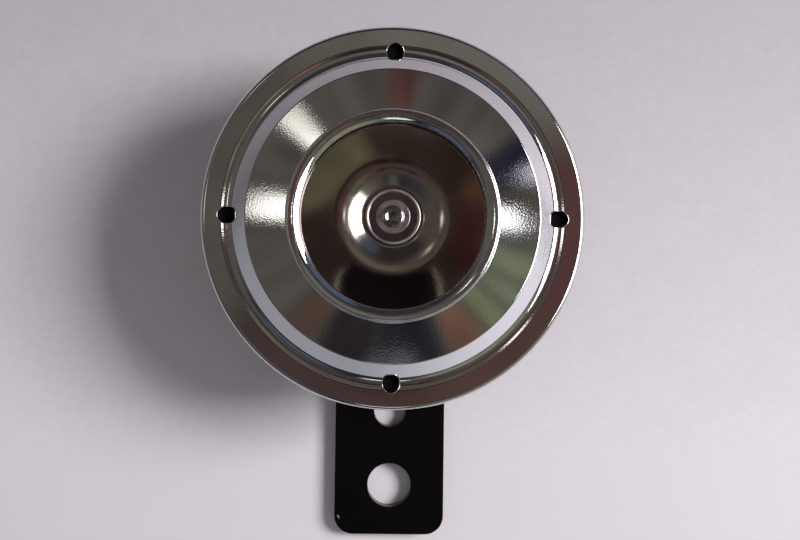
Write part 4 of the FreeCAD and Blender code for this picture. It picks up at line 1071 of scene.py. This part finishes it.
# The sheet's colour carries painted light: darker at its far end and growing lighter towards the bracket,
# standing in for light that falls off across it
SHEET_HALF = 1.5
PAINTED_SHADE_END = 0.10
PAINTED_LIGHT_SLOPE = -1 / 0.12
# Sheet colours at the two ends of the painted light: painted shade at the far end, painted light towards
# the bracket
SHEET_PAINTED_SHADE = (0.625, 0.59, 0.62)
SHEET_PAINTED_LIGHT = (0.92, 0.875, 0.905)
BLOTCH_SHARE = 0.16
FIBRE_SHARE = 0.30
SHEET_SPECULAR = 0.2
SHEET_ROUGHNESS = 0.85


def make_floor():
    """The pale sheet that the horn lies on, with a faint mottle and tooth, and painted light: its colour
    darker at the far end and lighter towards the bracket.
    """
    made = Shading("pale_sheet", metallic=0.0, specular=SHEET_SPECULAR)
    place = made.place()
    blotch = made.noise(place, 120.0, detail=5.0, roughness=0.6)
    parts = made.add("ShaderNodeSeparateXYZ")
    made.link(place, parts.inputs[0])
    # Painted light: a ramp across the sheet darkens its colour at the far end and lightens it towards the
    # bracket
    along = made.math("MULTIPLY", made.math("SUBTRACT", parts.outputs["Y"], PAINTED_SHADE_END), PAINTED_LIGHT_SLOPE)
    fibres = made.noise(place, 520.0, detail=4.0, roughness=0.7)
    uneven = made.math("ADD", made.math("MULTIPLY", blotch, BLOTCH_SHARE),
                       made.math("MULTIPLY", fibres, FIBRE_SHARE))
    tone = made.math("ADD", along, uneven)
    made.use_colour(made.ramp(tone, [(0.23, SHEET_PAINTED_SHADE), (1.0, SHEET_PAINTED_LIGHT)]))
    made.surface.inputs["Roughness"].default_value = SHEET_ROUGHNESS
    made.use_normal(made.bump(made.noise(place, 900.0, detail=3.0), 1.5e-5))
    mesh = bpy.data.meshes.new("floor_sheet")
    corners = [Vector((x, y, 0)) * SHEET_HALF + AXIS for x, y in ((-1, -1), (1, -1), (1, 1), (-1, 1))]
    mesh.from_pydata(corners, [], [(0, 1, 2, 3)])
    mesh.materials.append(made.material)
    sheet = bpy.data.objects.new("floor_sheet", mesh)
    bpy.context.scene.collection.objects.link(sheet)


def make_camera():
    """The camera, looking almost straight down on the horn."""
    camera = bpy.data.cameras.new("camera")
    camera.lens = LENS_MM
    camera.sensor_width = SENSOR_MM
    camera.clip_start = CLIP_START
    camera.clip_end = CLIP_END
    holder = bpy.data.objects.new("camera", camera)
    bpy.context.scene.collection.objects.link(holder)
    holder.location = CAMERA_PLACE
    holder.rotation_mode = "XYZ"
    holder.rotation_euler = CAMERA_TILT
    bpy.context.scene.camera = holder


materials = make_materials()
finish_nodes(materials)
make_front_cover(materials["cover_chrome"])
make_vent_beads(materials["cover_chrome"])
make_tone_disc(materials["disc_steel"])
make_washer(materials["washer_steel"])
make_armature(materials["soft_iron"])
make_adjusting_screw(materials["zinc_steel"])
make_room()
make_lamps()
make_floor()
make_camera()
bpy.context.scene.view_settings.view_transform = "Standard"
